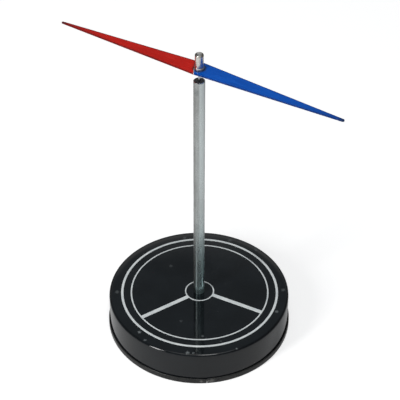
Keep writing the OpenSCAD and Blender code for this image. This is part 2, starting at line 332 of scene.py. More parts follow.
# %% Enamel of the base
# Each rub: its X and Y in mm, its radius in mm, and how strong it is.
RUBS = [((-10.9, -44.3), 1.9, 0.9), ((-5.1, -47.8), 1.6, 0.6), ((19.4, -43.9), 2.1, 0.8),
        ((22.2, -42.6), 1.5, 0.55), ((40.3, -27.8), 1.0, 0.8), ((45.0, 8.0), 2.0, 0.55),
        ((-38.6, -24.4), 2.4, 0.3), ((39.8, 24.9), 2.4, 0.3), ((-6.6, 45.8), 2.6, 0.25),
        ((19.9, -29.2), 1.7, 0.35), ((3.9, -25.5), 1.6, 0.2), ((-24.2, 9.3), 2.0, 0.18),
        ((30.3, -27.5), 1.2, 0.25), ((-30.1, 33.8), 2.2, 0.3), ((10.4, 46.2), 1.9, 0.3)]
BASE_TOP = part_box("base_pan")[1].z

enamel, wiring, shader = new_finish("black_enamel", IOR=1.455)
rubs = []
for (x, y), radius, strength in RUBS:
    centre = (x * MM, y * MM, BASE_TOP)
    mark = use_effect(wiring, "smudge", Centre=centre, Radius=radius * MM, Grain=0.7 * MM)
    rubs.append(wiring.times(mark, strength))
rubs_and_painted_sheen = add_up(wiring, rubs)
haze = use_effect(wiring, "clouds", Size=22 * MM, Detail=4.0)
dust = use_effect(wiring, "specks", Size=4.2 * MM, Share=0.3, Radius=0.05)
lines = use_effect(wiring, "hairlines", Size=4 * MM, Stretch=(1.0, 0.12, 0.6), Width=0.006)
colour = wiring.blend(haze, (0.0045, 0.006, 0.0072, 1), (0.008, 0.0105, 0.0128, 1))
colour = wiring.blend(wiring.times(dust, 0.35), colour, (0.3, 0.32, 0.32, 1))
colour = wiring.blend(wiring.times(rubs_and_painted_sheen, 0.5), colour, (0.42, 0.46, 0.47, 1))
gloss = wiring.ramp(haze, 0.0, 1.0, 0.035, 0.075)
gloss = wiring.plus(gloss, wiring.times(rubs_and_painted_sheen, 0.4))
gloss = wiring.plus(gloss, wiring.times(lines, 0.18), clamp=True)
feed(wiring, shader, Base_Color=colour, Roughness=gloss)
peel = use_effect(wiring, "clouds", Size=1.6 * MM, Detail=1.0, Seed=(3, 1, 4))
bump(wiring, shader, peel, 0.0012 * MM)
print("finish:", enamel.name, "with", len(RUBS), "rubbed places")

# %% [markdown]
# ## Printed ink
# The rings are screen printed in one thick pass of white. The ink is duller than the enamel, a little grey
# where it lies thin, and has pinholes. One flat white would look cut out of paper, so clouds vary both its
# colour and its gloss.

# %% White ink
ink, wiring, shader = new_finish("white_ink", IOR=1.48)
thin = use_effect(wiring, "clouds", Size=4 * MM, Detail=3.0, Seed=(7, 2, 0))
pinholes = use_effect(wiring, "specks", Size=1.1 * MM, Share=0.25, Radius=0.16, Seed=(5, 5, 0))
colour = wiring.blend(thin, (0.76, 0.81, 0.82, 1), (0.91, 0.95, 0.95, 1))
colour = wiring.blend(wiring.times(pinholes, 0.6), colour, (0.2, 0.21, 0.21, 1))
feed(wiring, shader, Base_Color=colour, Roughness=wiring.ramp(thin, 0.0, 1.0, 0.34, 0.5))
weave = use_effect(wiring, "clouds", Size=0.4 * MM, Detail=1.0, Seed=(1, 8, 0))
bump(wiring, shader, weave, 0.004 * MM)
print("finish:", ink.name)

# %% [markdown]
# ## Black edging plastic
# The strip is extruded soft plastic. Its shine is broader than the enamel's, it has faint lines along its
# length from the die, and beside the joint it is lighter grey, rougher and bumpier in a few spots. The lines
# could be modelled, but they are finer than a tenth of a millimetre, so a bump is enough.

# %% Plastic of the edging
EDGE_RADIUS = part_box("edging_strip")[1].x
EDGING_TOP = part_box("edging_strip")[1].z
JOINT_AT = math.radians(-54.0)
JOINT_SPOTS = [(0.055, 2.6), (0.018, 1.5), (-0.06, 1.7)]     # radians past the joint, and radius in mm

plastic, wiring, shader = new_finish("black_edging", IOR=1.38)
cloudy = use_effect(wiring, "clouds", Size=7 * MM, Detail=4.0, Seed=(2, 6, 1))
grit = use_effect(wiring, "specks", Size=2.2 * MM, Share=0.35, Radius=0.09, Seed=(0, 4, 2))
die_lines = use_effect(wiring, "clouds", Size=0.45 * MM, Stretch=(0.03, 0.03, 1.0), Detail=1.0)
# Lighter grey, rougher and bumpier spots beside the joint.
joint_spots = []
for turn, radius in JOINT_SPOTS:
    angle = JOINT_AT + turn
    centre = (EDGE_RADIUS * math.cos(angle), EDGE_RADIUS * math.sin(angle), EDGING_TOP * 0.55)
    joint_spots.append(use_effect(wiring, "smudge", Centre=centre, Radius=radius * MM, Grain=0.5 * MM))
joint_spot_mask = add_up(wiring, joint_spots)
colour = wiring.blend(cloudy, (0.017, 0.0177, 0.0177, 1), (0.031, 0.031, 0.03, 1))
colour = wiring.blend(wiring.times(grit, 0.3), colour, (0.24, 0.24, 0.23, 1))
colour = wiring.blend(wiring.times(joint_spot_mask, 0.38), colour, (0.34, 0.33, 0.31, 1))
gloss = wiring.plus(wiring.ramp(cloudy, 0.0, 1.0, 0.24, 0.4), wiring.times(joint_spot_mask, 0.25), clamp=True)
feed(wiring, shader, Base_Color=colour, Roughness=gloss)
bump(wiring, shader, wiring.plus(die_lines, wiring.times(joint_spot_mask, 0.5)), 0.012 * MM)
print("finish:", plastic.name)

# %% [markdown]
# ## Bright zinc plating
# The rod is drawn steel under a thin coat of zinc. It has long streaks from the draw bench, dull grey
# patches where the zinc has begun to oxidise, and stays shiny enough to mirror the black base low down.
# A Voronoi texture would draw the large crystals of hot dipped zinc. This bright coat has none that can be
# seen, so soft noise does it. The nut and washers have the same coat, so the recipe is a function. The other
# steels differ from it only in colour, gloss and the way their streaks run, so it makes them too.

# %% Zinc
def zinc_finish(name, dull, bright, smooth, rough, along=(1.0, 1.0, 0.1), seed=(0, 0, 0), metal=0.8):
    """Zinc plating, with streaks that run along the axis that has the smallest stretch."""
    material, wiring, shader = new_finish(name, Metallic=metal)
    patches = use_effect(wiring, "clouds", Size=4.2 * MM, Stretch=(1.0, 1.0, 0.36), Detail=4.0, Seed=seed)
    streaks = use_effect(wiring, "clouds", Size=0.9 * MM, Stretch=along, Detail=3.0, Seed=seed)
    spangle = use_effect(wiring, "clouds", Size=0.6 * MM, Stretch=(1.0, 1.0, 0.5), Detail=1.0, Seed=seed)
    pits = use_effect(wiring, "specks", Size=2.4 * MM, Share=0.35, Radius=0.1, Seed=seed)
    fine = wiring.plus(wiring.times(streaks, 0.32), wiring.times(spangle, 0.18))
    tone = wiring.plus(wiring.times(patches, 0.5), fine, clamp=True)
    colour = wiring.blend(tone, dull, bright)
    colour = wiring.blend(wiring.times(pits, 0.5), colour, grey(0.1))
    gloss = wiring.ramp(tone, 0.1, 0.9, rough, smooth)
    feed(wiring, shader, Base_Color=colour, Roughness=gloss)
    bump(wiring, shader, wiring.plus(streaks, wiring.times(spangle, 0.4)), 0.004 * MM)
    return material


rod_zinc = zinc_finish("rod_zinc", (0.275, 0.28, 0.272, 1), (0.52, 0.535, 0.527, 1), 0.22, 0.38, metal=0.86)
fastener_zinc = zinc_finish("fastener_zinc", (0.36, 0.36, 0.34, 1), (0.68, 0.69, 0.66, 1), 0.22, 0.4,
                            along=(1.0, 1.0, 1.0), seed=(4, 4, 4))
black_spring = zinc_finish("blackened_spring_steel", (0.05, 0.052, 0.055, 1), (0.15, 0.155, 0.16, 1),
                           0.3, 0.5, along=(1.0, 1.0, 1.0), seed=(8, 1, 6))
bare_steel = zinc_finish("bare_blade_steel", (0.45, 0.42, 0.43, 1), (0.85, 0.83, 0.85, 1), 0.35, 0.5,
                         along=(1.0, 0.1, 1.0), seed=(1, 9, 2), metal=0.35)
point_steel = zinc_finish("ground_point_steel", (0.46, 0.47, 0.47, 1), (0.7, 0.71, 0.71, 1), 0.14, 0.24,
                          along=(1.0, 1.0, 6.0), seed=(6, 3, 3), metal=1.0)
print("finishes:", [m.name for m in (rod_zinc, fastener_zinc, black_spring, bare_steel, point_steel)])

# %% [markdown]
# The bare steel shows only in the narrow line between the two colours. Its back part, beside the cap, is
# painted dark red as a painted shadow of the cap, so just its front end is bright. The line is a third of a
# millimetre wide, and a mask is enough. Y tells the front from the back. The colour that the recipe wired is
# taken from the shader, blended with the dark red, and wired in again.

# %% Painted shadow in the bare line
def reopened(material):
    """A finished material's wiring and shader, and the colour that is wired in now."""
    shader = material.node_tree.nodes["Principled BSDF"]
    return Wiring(material.node_tree), shader, shader.inputs["Base Color"].links[0].from_socket


wiring, shader, plain = reopened(bare_steel)
# Painted shadow of the cap: the back part of the bare line, beside the cap, is made dark red.
shaded_by_cap = wiring.ramp(wiring.split(wiring.here())["Y"], -2.2 * MM, -0.6 * MM, 0.0, 0.95)
feed(wiring, shader, Base_Color=wiring.blend(shaded_by_cap, plain, (0.09, 0.03, 0.03, 1)))
print("paint crept into:", bare_steel.name)

# %% [markdown]
# One side of the rod is painted brighter, a painted highlight that is strongest near its top. Further
# round, its lower third gets a painted highlight too. It is painted darker low down, a painted reflection of
# the black base, with painted shade at the foot, and dull where a thumb has held it near the top. A side is
# found from the direction round the rod's axis, and the height from Z. An image could carry such highlights
# and shade, but masks made from place alone need no unwrapping and stay sharp close up.

# %% The rod's painted highlights and shade
# The sides of the rod that get a painted highlight.
SHEEN_SIDE_AT = math.radians(-30)
LOWER_SHEEN_AT = math.radians(3)
HELD_AT = (0.17 * MM, -3.0 * MM, 159.2 * MM)


def towards_side(wiring, level, angle):
    """How squarely the surface faces a side of the rod: 1 straight at it, 0 square to it."""
    return wiring.dot(level, (math.cos(angle), math.sin(angle), 0))


wiring, shader, plain = reopened(rod_zinc)
point = wiring.here()
level = wiring.level(point)
height = wiring.split(point)["Z"]
# Painted highlight: one side of the rod is made brighter, most near its top.
facing = towards_side(wiring, level, SHEEN_SIDE_AT)
narrow_highlight = wiring.times(wiring.ramp(facing, 0.78, 0.97), wiring.ramp(height, 60 * MM, 150 * MM, 0.4, 0.8))
broad_highlight = wiring.times(wiring.ramp(facing, 0.1, 0.7), wiring.ramp(height, 125 * MM, 150 * MM, 0.3, 0.1))
# Painted highlight on the lower third, further round.
rubs_and_painted_sheen = wiring.times(wiring.ramp(towards_side(wiring, level, LOWER_SHEEN_AT), 0.7, 0.92),
                      wiring.ramp(height, 40 * MM, 80 * MM, 0.95, 0.0))
painted_sheen = wiring.math("MAXIMUM", wiring.plus(narrow_highlight, broad_highlight, clamp=True), rubs_and_painted_sheen)
held = use_effect(wiring, "smudge", Centre=HELD_AT, Radius=4.2 * MM, Grain=1.0 * MM)
# Painted reflection of the black base: darker low down, plus a real thumb mark near the top.
base_reflection_and_thumb = wiring.plus(wiring.ramp(height, 30 * MM, 100 * MM, 0.45, 0.0), wiring.times(held, 0.45), clamp=True)
# Painted shade at the foot, where the rod meets the base.
foot_shade = wiring.ramp(height, 23.5 * MM, 31 * MM, 0.85, 0.0)
colour = wiring.blend(base_reflection_and_thumb, plain, (0.115, 0.135, 0.138, 1))
colour = wiring.blend(foot_shade, colour, (0.05, 0.065, 0.066, 1))
# The colour of the painted highlight, cooler low down.
sheen_colour = wiring.blend(wiring.ramp(height, 30 * MM, 90 * MM), (0.66, 0.9, 0.91, 1), (0.76, 0.83, 0.83, 1))
feed(wiring, shader, Base_Color=wiring.blend(painted_sheen, colour, sheen_colour))
print("worn:", rod_zinc.name)

# %% [markdown]
# ## Nickel plating
# The cap is turned brass with bright nickel over it. It mirrors the table, the room and both colours of the
# blade, so it needs little colour of its own: turning marks round it, a few dull spots, painted shade on one
# side from the flange up, where it is also rougher and less metallic, and painted dark reflections on its
# shoulders. The shader's anisotropy could stretch the highlights as turning marks do, but a bump of fine
# rings does that too and also holds close up. `sideways` is the distance from an upright plane through the
# cap's axis, which tells the two sides apart.

# %% Nickel of the cap
COAT_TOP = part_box("blue_enamel")[1].z
CAP_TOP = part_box("needle_cap")[1].z
ACROSS_CAP = (0.86, 0.51, 0)
nickel, wiring, shader = new_finish("bright_nickel")
rings = use_effect(wiring, "clouds", Size=0.22 * MM, Stretch=(0.12, 0.12, 1.0), Detail=2.0, Seed=(2, 2, 7))
dull = use_effect(wiring, "clouds", Size=1.6 * MM, Detail=3.0, Seed=(9, 0, 1))
spots = use_effect(wiring, "specks", Size=0.9 * MM, Share=0.3, Radius=0.12, Seed=(3, 3, 0))
colour = wiring.blend(dull, (0.66, 0.635, 0.59, 1), (0.86, 0.84, 0.79, 1))
colour = wiring.blend(wiring.times(spots, 0.6), colour, (0.2, 0.17, 0.12, 1))
point = wiring.here()
height = wiring.split(point)["Z"]
sideways = wiring.dot(point, ACROSS_CAP)
# Painted shade on one side of the cap, from the flange up; it also makes that part rougher and less metallic.
shaded_side = wiring.ramp(height, COAT_TOP + 0.3 * MM, COAT_TOP + 4.2 * MM, 0.85, 0.0)
shaded_side = wiring.times(shaded_side, wiring.ramp(dull, 0.0, 0.6, 1.0, 0.6))
shaded_side = wiring.times(shaded_side, wiring.ramp(sideways, -1.4 * MM, 0.2 * MM))
colour = wiring.blend(shaded_side, colour, (0.26, 0.25, 0.24, 1))
# Painted dark reflections on the cap's shoulders.
shoulder_reflection = wiring.times(wiring.ramp(wiring.math("ABSOLUTE", sideways), 0.6 * MM, 1.5 * MM, 0.0, 0.85),
                        wiring.ramp(height, CAP_TOP - 1.5 * MM, CAP_TOP - 0.9 * MM))
colour = wiring.blend(shoulder_reflection, colour, (0.2, 0.17, 0.14, 1))
gloss = wiring.plus(wiring.ramp(dull, 0.0, 1.0, 0.34, 0.25), wiring.times(shaded_side, 0.2), clamp=True)
feed(wiring, shader, Base_Color=colour, Roughness=gloss, Metallic=wiring.ramp(shaded_side, 0.0, 1.0, 1.0, 0.6))
bump(wiring, shader, wiring.plus(rings, wiring.times(dull, 0.3)), 0.0018 * MM)
print("finish:", nickel.name)

# %% [markdown]
# ## Black plug plastic
# The plug in the rod's top is moulded and then pressed in. It is dull, a little dusty, and greyed round the
# steel point where it was reamed. It is too small for a finish with many parts: one cloud gives its colour,
# its gloss and its bumps.

# %% Plastic of the plug
PLUG_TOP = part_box("rod_plug")[1].z
plug_black, wiring, shader = new_finish("moulded_plug", IOR=1.46)
mottle = use_effect(wiring, "clouds", Size=1.4 * MM, Detail=3.0, Seed=(5, 0, 9))
grit = use_effect(wiring, "specks", Size=0.8 * MM, Share=0.4, Radius=0.14, Seed=(2, 0, 2))
reamed = use_effect(wiring, "smudge", Centre=(0, 0, PLUG_TOP), Radius=1.5 * MM, Grain=0.3 * MM)
colour = wiring.blend(mottle, (0.034, 0.036, 0.036, 1), (0.068, 0.071, 0.07, 1))
dusty = wiring.times(add_up(wiring, [grit, reamed]), 0.22)
colour = wiring.blend(dusty, colour, (0.32, 0.32, 0.3, 1))
feed(wiring, shader, Base_Color=colour, Roughness=wiring.ramp(mottle, 0.0, 1.0, 0.42, 0.58))
bump(wiring, shader, mottle, 0.02 * MM)
print("finish:", plug_black.name)

# %% [markdown]
# ## The jewel
# The bearing in the cap is a small polished stone with a hollow ground in it. Synthetic ruby is the usual
# one. It could be a pure glass with a coloured volume. At this size a red body that is partly see-through
# looks the same and renders faster.

# %% Ruby
ruby, wiring, shader = new_finish("ruby_bearing", IOR=1.76, Metallic=0.0, Transmission_Weight=0.6)
veil = use_effect(wiring, "clouds", Size=0.5 * MM, Detail=2.0, Seed=(1, 1, 5))
colour = wiring.blend(veil, (0.34, 0.008, 0.03, 1), (0.62, 0.03, 0.08, 1))
feed(wiring, shader, Base_Color=colour, Roughness=wiring.ramp(veil, 0.0, 1.0, 0.06, 0.2))
print("finish:", ruby.name)

# %% [markdown]
# ## Red and blue paint
# Each half of the blade is dipped or sprayed. The paint runs thin along the sheared edges, so they look
# dark, and it is duller towards the tip, where it gathers darkest. To darken the edges, the finish has to
# know how far a point lies from the lozenge's edge. Colours stored on the mesh's points could say so, but
# would need many more points. The outline is straight, so the distance is a short sum of X and Y. Both
# halves need it, so it is a shared effect too.

# %% Distance from the blade's edge
wiring, given, made = effect("blade_rim", {
    "Half width": ("value", 0.005), "Tip": ("value", 0.0005), "Reach": ("value", 0.08)},
    ["Distance", "From tip", "From axis"])
split = wiring.split(wiring.here())
along = wiring.math("ABSOLUTE", split["X"])
across = wiring.math("ABSOLUTE", split["Y"])
narrowing = wiring.math("DIVIDE", wiring.math("SUBTRACT", given["Half width"], given["Tip"]), given["Reach"])
half_here = wiring.math("SUBTRACT", given["Half width"], wiring.times(along, narrowing))
wiring.tree.links.new(wiring.math("SUBTRACT", half_here, across), made["Distance"])
wiring.tree.links.new(wiring.math("SUBTRACT", given["Reach"], along), made["From tip"])
from_axis = wiring.math("SQRT", wiring.plus(wiring.times(along, along), wiring.times(across, across)))
wiring.tree.links.new(from_axis, made["From axis"])
print("effect: blade_rim")

# %% [markdown]
# The recipe takes the fresh and the worn colour, the dark one of the rim and the darkest one of the tip.
# Round the cap, the recipe paints a shadow in the tip's colour, broken up by a noise. Gloss paint hardly
# mirrors anything when it is looked down on, so the specular level is low.

# %% Paint of the two halves
BLADE_HALF_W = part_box("blue_enamel")[1].y
RED_REACH = -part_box("red_enamel")[0].x
BLUE_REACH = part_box("blue_enamel")[1].x
RED_TIP_R = 0.68 * MM
BLUE_TIP_R = 0.895 * MM


def blade_paint(name, fresh, worn, rim, tip, reach, tip_r, thin_w, seed):
    """Paint with edges that are thin and dark for thin_w, a darker tip, a painted shadow round the cap, soft
    ripples and a few scratches.
    """
    material, wiring, shader = new_finish(name, IOR=1.3, Specular_IOR_Level=0.3)
    place = wiring.add("ShaderNodeGroup", {"Half width": BLADE_HALF_W, "Tip": tip_r, "Reach": reach},
                       node_tree=bpy.data.node_groups["blade_rim"]).outputs
    ripple = use_effect(wiring, "clouds", Size=3.5 * MM, Stretch=(0.3, 1.0, 1.0), Detail=4.0, Seed=seed)
    ragged = use_effect(wiring, "clouds", Size=1.1 * MM, Stretch=(0.5, 1.0, 1.0), Detail=2.0, Seed=seed)
    dust = use_effect(wiring, "specks", Size=2.6 * MM, Share=0.3, Radius=0.07, Seed=seed)
    lines = use_effect(wiring, "hairlines", Size=2.2 * MM, Stretch=(0.15, 1.0, 1.0), Width=0.012, Seed=seed)
    thin = wiring.ramp(place["Distance"], 0.0, thin_w, 0.92, 0.0)
    thin = wiring.times(thin, wiring.ramp(ragged, 0.0, 1.0, 0.75, 1.0), clamp=True)
    far_end = wiring.ramp(place["From tip"], 1.0 * MM, 30.0 * MM, 0.42, 0.0)
    pooled = wiring.ramp(place["From tip"], 0.4 * MM, 4.5 * MM, 0.85, 0.0)
    # Painted shadow round the cap, in the tip's dark colour, broken up by a noise.
    near_cap = wiring.ramp(place["From axis"], 2.7 * MM, 4.2 * MM, 1.25, 0.0)
    cap_shadow = wiring.times(near_cap, wiring.ramp(ragged, 0.0, 1.0, 0.65, 0.95), clamp=True)
    colour = wiring.blend(ripple, fresh, worn)
    for mask, over in [(wiring.times(lines, 0.25), rim), (thin, rim), (far_end, rim), (pooled, tip),
                       (cap_shadow, tip), (wiring.times(dust, 0.25), grey(0.5))]:
        colour = wiring.blend(mask, colour, over)
    gloss = wiring.plus(wiring.ramp(ripple, 0.0, 1.0, 0.2, 0.3), wiring.times(lines, 0.15), clamp=True)
    feed(wiring, shader, Base_Color=colour, Roughness=gloss)
    bump(wiring, shader, wiring.plus(ripple, wiring.times(ragged, 0.3)), 0.01 * MM)
    return material


red_paint = blade_paint("red_lacquer", fresh=(0.62, 0.0125, 0.0067, 1), worn=(0.74, 0.0157, 0.008, 1),
                        rim=(0.13, 0.0105, 0.0105, 1), tip=(0.095, 0.016, 0.02, 1),
                        reach=RED_REACH, tip_r=RED_TIP_R, thin_w=1.1 * MM, seed=(0, 0, 0))
blue_paint = blade_paint("blue_lacquer", fresh=(0.0016, 0.099, 0.56, 1), worn=(0.0022, 0.125, 0.67, 1),
                         rim=(0.007, 0.032, 0.165, 1), tip=(0.02, 0.045, 0.13, 1),
                         reach=BLUE_REACH, tip_r=BLUE_TIP_R, thin_w=0.85 * MM, seed=(3, 5, 1))
print("finishes:", red_paint.name, blue_paint.name)

# %% [markdown]
# ## Turned pieces
# Nearly everything here came off a lathe, a spinning press or a stamp. Such a piece is an outline swept
# round an axis. Blender's Screw modifier could do that, but a short function gives control of each ring of
# points, so the same code can also cut a thread, a hexagon or a slit. The outline is a list of points
# (distance from the axis, height), in millimetres.

# %% Outline helpers
def arc(across, height, radius, start, end, count=8):
    """Points on an arc, in degrees, from the side (0) towards the top (90)."""
    angles = [math.radians(start + (end - start) * i / count) for i in range(count + 1)]
    return [(across + radius * math.cos(a), height + radius * math.sin(a)) for a in angles]


def straight(first, last, count):
    """Points along a straight line, without the last one."""
    return [tuple(f + (e - f) * i / count for f, e in zip(first, last)) for i in range(count)]


print("points in a quarter circle:", len(arc(0, 0, 1, 0, 90)), "and in a line of 8 steps:",
      len(straight((0, 0), (1, 1), 8)))

# %% [markdown]
# Points and faces are collected in a bmesh, which becomes an object at the end. Turned metal is smooth round
# its curves and crisp at its corners. A modifier could split the two, but marking the sharp edges once, by
# the angle between their faces, gives the same look and stays in the mesh.

# %% From points to an object
SHARP_ANGLE = math.radians(38)


def as_object(name, made):
    """Turns a bmesh into an object whose flat ends stay crisp and whose curves are smooth."""
    mesh = bpy.data.meshes.new(name)
    made.to_mesh(mesh)
    made.free()
    mesh.shade_smooth()
    mesh.set_sharp_from_angle(angle=SHARP_ANGLE)
    piece = bpy.data.objects.new(name, mesh)
    bpy.context.scene.collection.objects.link(piece)
    return piece


print("edges that turn more than", round(math.degrees(SHARP_ANGLE)), "degrees stay crisp")

# %% [markdown]
# The lathe makes a ring of points from each point of an outline, and faces between the rings. Whatever else
# is done to the points, such as a thread or a hexagon, is a small function that the piece hands in, so the
# lathe itself stays the same for every piece.

# %% The lathe
STEPS_ROUND = 192


def turned(name, outline, closed, steps=STEPS_ROUND, sweep=TURN, start=0.0, shape=None):
    """A mesh turned about Z. A closed outline makes a ring; an open one runs from axis to axis.
    shape(across, height, angle, spot) may move a point; spot is its place in the outline."""
    whole = sweep == TURN
    columns = steps if whole else steps + 1
    made = bmesh.new()
    grid = []
    for spot, (across, height) in enumerate(outline):
        if across == 0:
            grid.append([made.verts.new((0, 0, height * MM))] * columns)
            continue
        ring = []
        for step in range(columns):
            r, z, turn = across, height, start + sweep * step / steps
            if shape:
                r, z, turn = shape(r, z, turn, spot)
            ring.append(made.verts.new((r * math.cos(turn) * MM, r * math.sin(turn) * MM, z * MM)))
        grid.append(ring)
    pairs = list(zip(grid, grid[1:])) + ([(grid[-1], grid[0])] if closed else [])
    for low, high in pairs:
        for step in range(steps):
            ahead = (step + 1) % columns
            corners = [low[step], low[ahead], high[ahead], high[step]]
            face = [c for i, c in enumerate(corners) if c not in corners[:i]]
            if len(face) > 2:
                made.faces.new(face)
    if closed and not whole:
        made.faces.new([ring[0] for ring in reversed(grid)])
        made.faces.new([ring[-1] for ring in grid])
    bmesh.ops.recalc_face_normals(made, faces=made.faces)
    return as_object(name, made)


print("the lathe takes", STEPS_ROUND, "steps round, unless a piece asks for another count")

# %% [markdown]
# A finished piece gets its material and its body, and names the CAD nodes that it stands for. The
# body is what carries it along when a joint moves. The four lines could follow every piece, but as one
# function they can't be forgotten, and each piece's size is printed as well.

# %% Dressing a piece
def dress(piece, material, body, slot, *nodes):
    """Gives a piece its finish and its body, and hides the CAD nodes that it stands for. The slot is not
    used.
    """
    piece.data.materials.append(material)
    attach(piece, body)
    if nodes:
        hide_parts(*nodes)
    columns = zip(*(v.co for v in piece.data.vertices))
    size = [round((max(column) - min(column)) / MM, 2) for column in columns]
    print("piece:", piece.name, "faces", len(piece.data.polygons), "size mm", size)


def in_mm(node):
    """A CAD node's lowest and highest corner, in millimetres."""
    low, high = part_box(node)
    return low / MM, high / MM


# %% [markdown]
# ## The pressed base
# A disc of sheet steel is drawn over a punch into a shallow pan, then sprayed and baked. The press leaves a
# soft radius round the top and a wall that is never perfectly true. A cylinder with a Bevel modifier would
# give its outside. One turned outline also gives the hollow underside, and the wall's ripple in the same
# pass. The ripple of a few hundredths of a millimetre is too small to measure in a picture, but it bends
# the reflections as the real one does.

# %% The pressed base
pan_low, pan_high = in_mm("base_pan")
pan_r, pan_top, pan_foot = pan_high.x, pan_high.z, pan_low.z
SHEET = 1.0
PRESS_R = 1.4
STUD_HOLE_R = 2.6
WALL_ZONE = 3.0        # what lies this near the outside can move
WALL_IN = 0.04
WALL_WAVE = 0.03
WAVES_ROUND = 2.2      # a larger number makes more and shorter waves
WAVES_UP = 0.06
TOP_RINGS = (46, 42, 36, 28, 20, 12, 6)
UNDER_RINGS = (8, 20, 34, 44)


def pressed_ripple(across, height, angle, spot):
    """Pushes the wall in by a few hundredths, more at its foot than at the rounded top."""
    if across < pan_r - WALL_ZONE:
        return across, height, angle
    low_down = (pan_top - height) / (pan_top - pan_foot)
    point = Vector((math.cos(angle) * WAVES_ROUND, math.sin(angle) * WAVES_ROUND, height * WAVES_UP))
    dent = (noise.noise(point) + 0.5 * math.cos(3 * angle + 1.0)) * WALL_WAVE - WALL_IN
    return across + dent * low_down, height, angle


outline = [(pan_r - SHEET, pan_foot + 0.25), (pan_r - 0.75 * SHEET, pan_foot), (pan_r - 0.25, pan_foot)]
outline += straight((pan_r, pan_foot + 0.25), (pan_r, pan_top - PRESS_R), 8)
outline += arc(pan_r - PRESS_R, pan_top - PRESS_R, PRESS_R, 0, 90, 12)
outline += [(r, pan_top) for r in (*TOP_RINGS, STUD_HOLE_R + 0.15)]
outline += [(STUD_HOLE_R, pan_top - 0.15), (STUD_HOLE_R, pan_top - SHEET)]
outline += [(r, pan_top - SHEET) for r in UNDER_RINGS]
outline += arc(pan_r - PRESS_R, pan_top - PRESS_R, PRESS_R - SHEET, 90, 0, 6)
outline += straight((pan_r - SHEET, pan_top - PRESS_R - 1), (pan_r - SHEET, pan_foot + 0.25), 6)
base = turned("pressed_base", outline, closed=True, steps=360, shape=pressed_ripple)
dress(base, enamel, "stand", "base_enamel", "base_pan")

# %% [markdown]
# ## The edging strip
# The raw lower rim is covered by a U of black plastic, cut to length and pushed on with its ends meeting near
# the front. Straight stock never sits quite true: the outer leg waves a little, it opens towards the joint,
# and the two cut ends don't line up. A curve with a U for its profile could be bent round the rim. The lathe
# can also stop short of a full turn, and then each cut end can be moved by itself.

# %% The edging strip
edging_high = in_mm("edging_strip")[1]
edging_r, edging_h = edging_high.x - 0.01, edging_high.z
LEG = 0.8
FLOOR = 1.0
CORNER = 0.7
LEG_WAVE = 0.05
LEG_IN = 0.03
TOP_WAVE = 0.06
# How far the leg spreads and drops at each cut end, in mm, and how far that end slants, in radians.
FIRST_END = (0.07, 0.2, -0.003)
SECOND_END = (0.16, 0.5, 0.006)
END_REACH = 0.045      # radians from the joint
half_gap = 0.2 / pan_r
joint_start = JOINT_AT + half_gap
edging_sweep = TURN - 2 * half_gap


def pushed_on(across, height, angle, spot):
    """The outer leg's top waves, and both cut ends open a little and sit at two heights."""
    past = angle - joint_start
    spread, drop, slant = SECOND_END if past > edging_sweep / 2 else FIRST_END
    near_end = math.exp(-min(abs(past), abs(past - edging_sweep)) / END_REACH)
    point = Vector((math.cos(angle) * 4.0, math.sin(angle) * 4.0, 3.0))
    share = max(0.0, (height - FLOOR) / (edging_h - FLOOR))
    if across > pan_r:
        across += share * (noise.noise(point) * LEG_WAVE - LEG_IN + near_end * spread)
        height -= share * near_end * drop
    height -= share * (TOP_WAVE + TOP_WAVE * noise.noise(point * 1.7))
    return across, height, angle + near_end * slant * share


inner_r = pan_r - SHEET - LEG - 0.02
leg_r = LEG / 2
outline = arc(edging_r - CORNER, CORNER, CORNER, -90, 0, 6)
outline += straight((edging_r, CORNER + 0.2), (edging_r, edging_h - leg_r), 4)
outline += arc(edging_r - leg_r, edging_h - leg_r, leg_r, 0, 180, 8)
outline += [(edging_r - LEG, FLOOR), (inner_r + LEG, FLOOR)]
outline += arc(inner_r + leg_r, edging_h - leg_r, leg_r, 0, 180, 8)
outline += arc(inner_r + CORNER, CORNER, CORNER, 180, 270, 6)
edging = turned("edging", outline, closed=True, steps=360, sweep=edging_sweep, start=joint_start,
                shape=pushed_on)
dress(edging, plastic, "stand", "edging_plastic", "edging_strip")

# %% [markdown]
# ## The printed rings
# The print could be a mask in the enamel, but ink has a real thickness and a slightly ragged edge that
# catches the light. A flat curve with holes in it, filled and given a thickness, makes the wheel of small
# ring, spokes and inner ring as one clean shape with no overlaps. The three openings between the spokes are
# worked out from the ring radii and the spoke width.

# %% Helpers for printed shapes
PRINT_LOW, PRINT_HIGH = in_mm("base_print")
PRINT_AT = ((PRINT_LOW.x + PRINT_HIGH.x) / 2, (PRINT_LOW.y + PRINT_HIGH.y) / 2)
PRINT_TURN = math.radians(5)
INK_T = PRINT_HIGH.z - PRINT_LOW.z
INK_BEVEL = 0.02
RAGGED = 0.035


def printed_loop(radius_at, start=0.0, end=TURN, step_mm=0.5):
    """Points round the print's centre, one every step_mm, on a slightly ragged edge."""
    count = max(2, int(abs(end - start) * radius_at / step_mm))
    points = []
    for i in range(count):
        angle = start + (end - start) * i / count
        spot = Vector((math.cos(angle), math.sin(angle), 0)) * radius_at
        ragged = radius_at + noise.noise(spot * 1.4) * RAGGED
        points.append((ragged * math.cos(angle), ragged * math.sin(angle)))
    return points


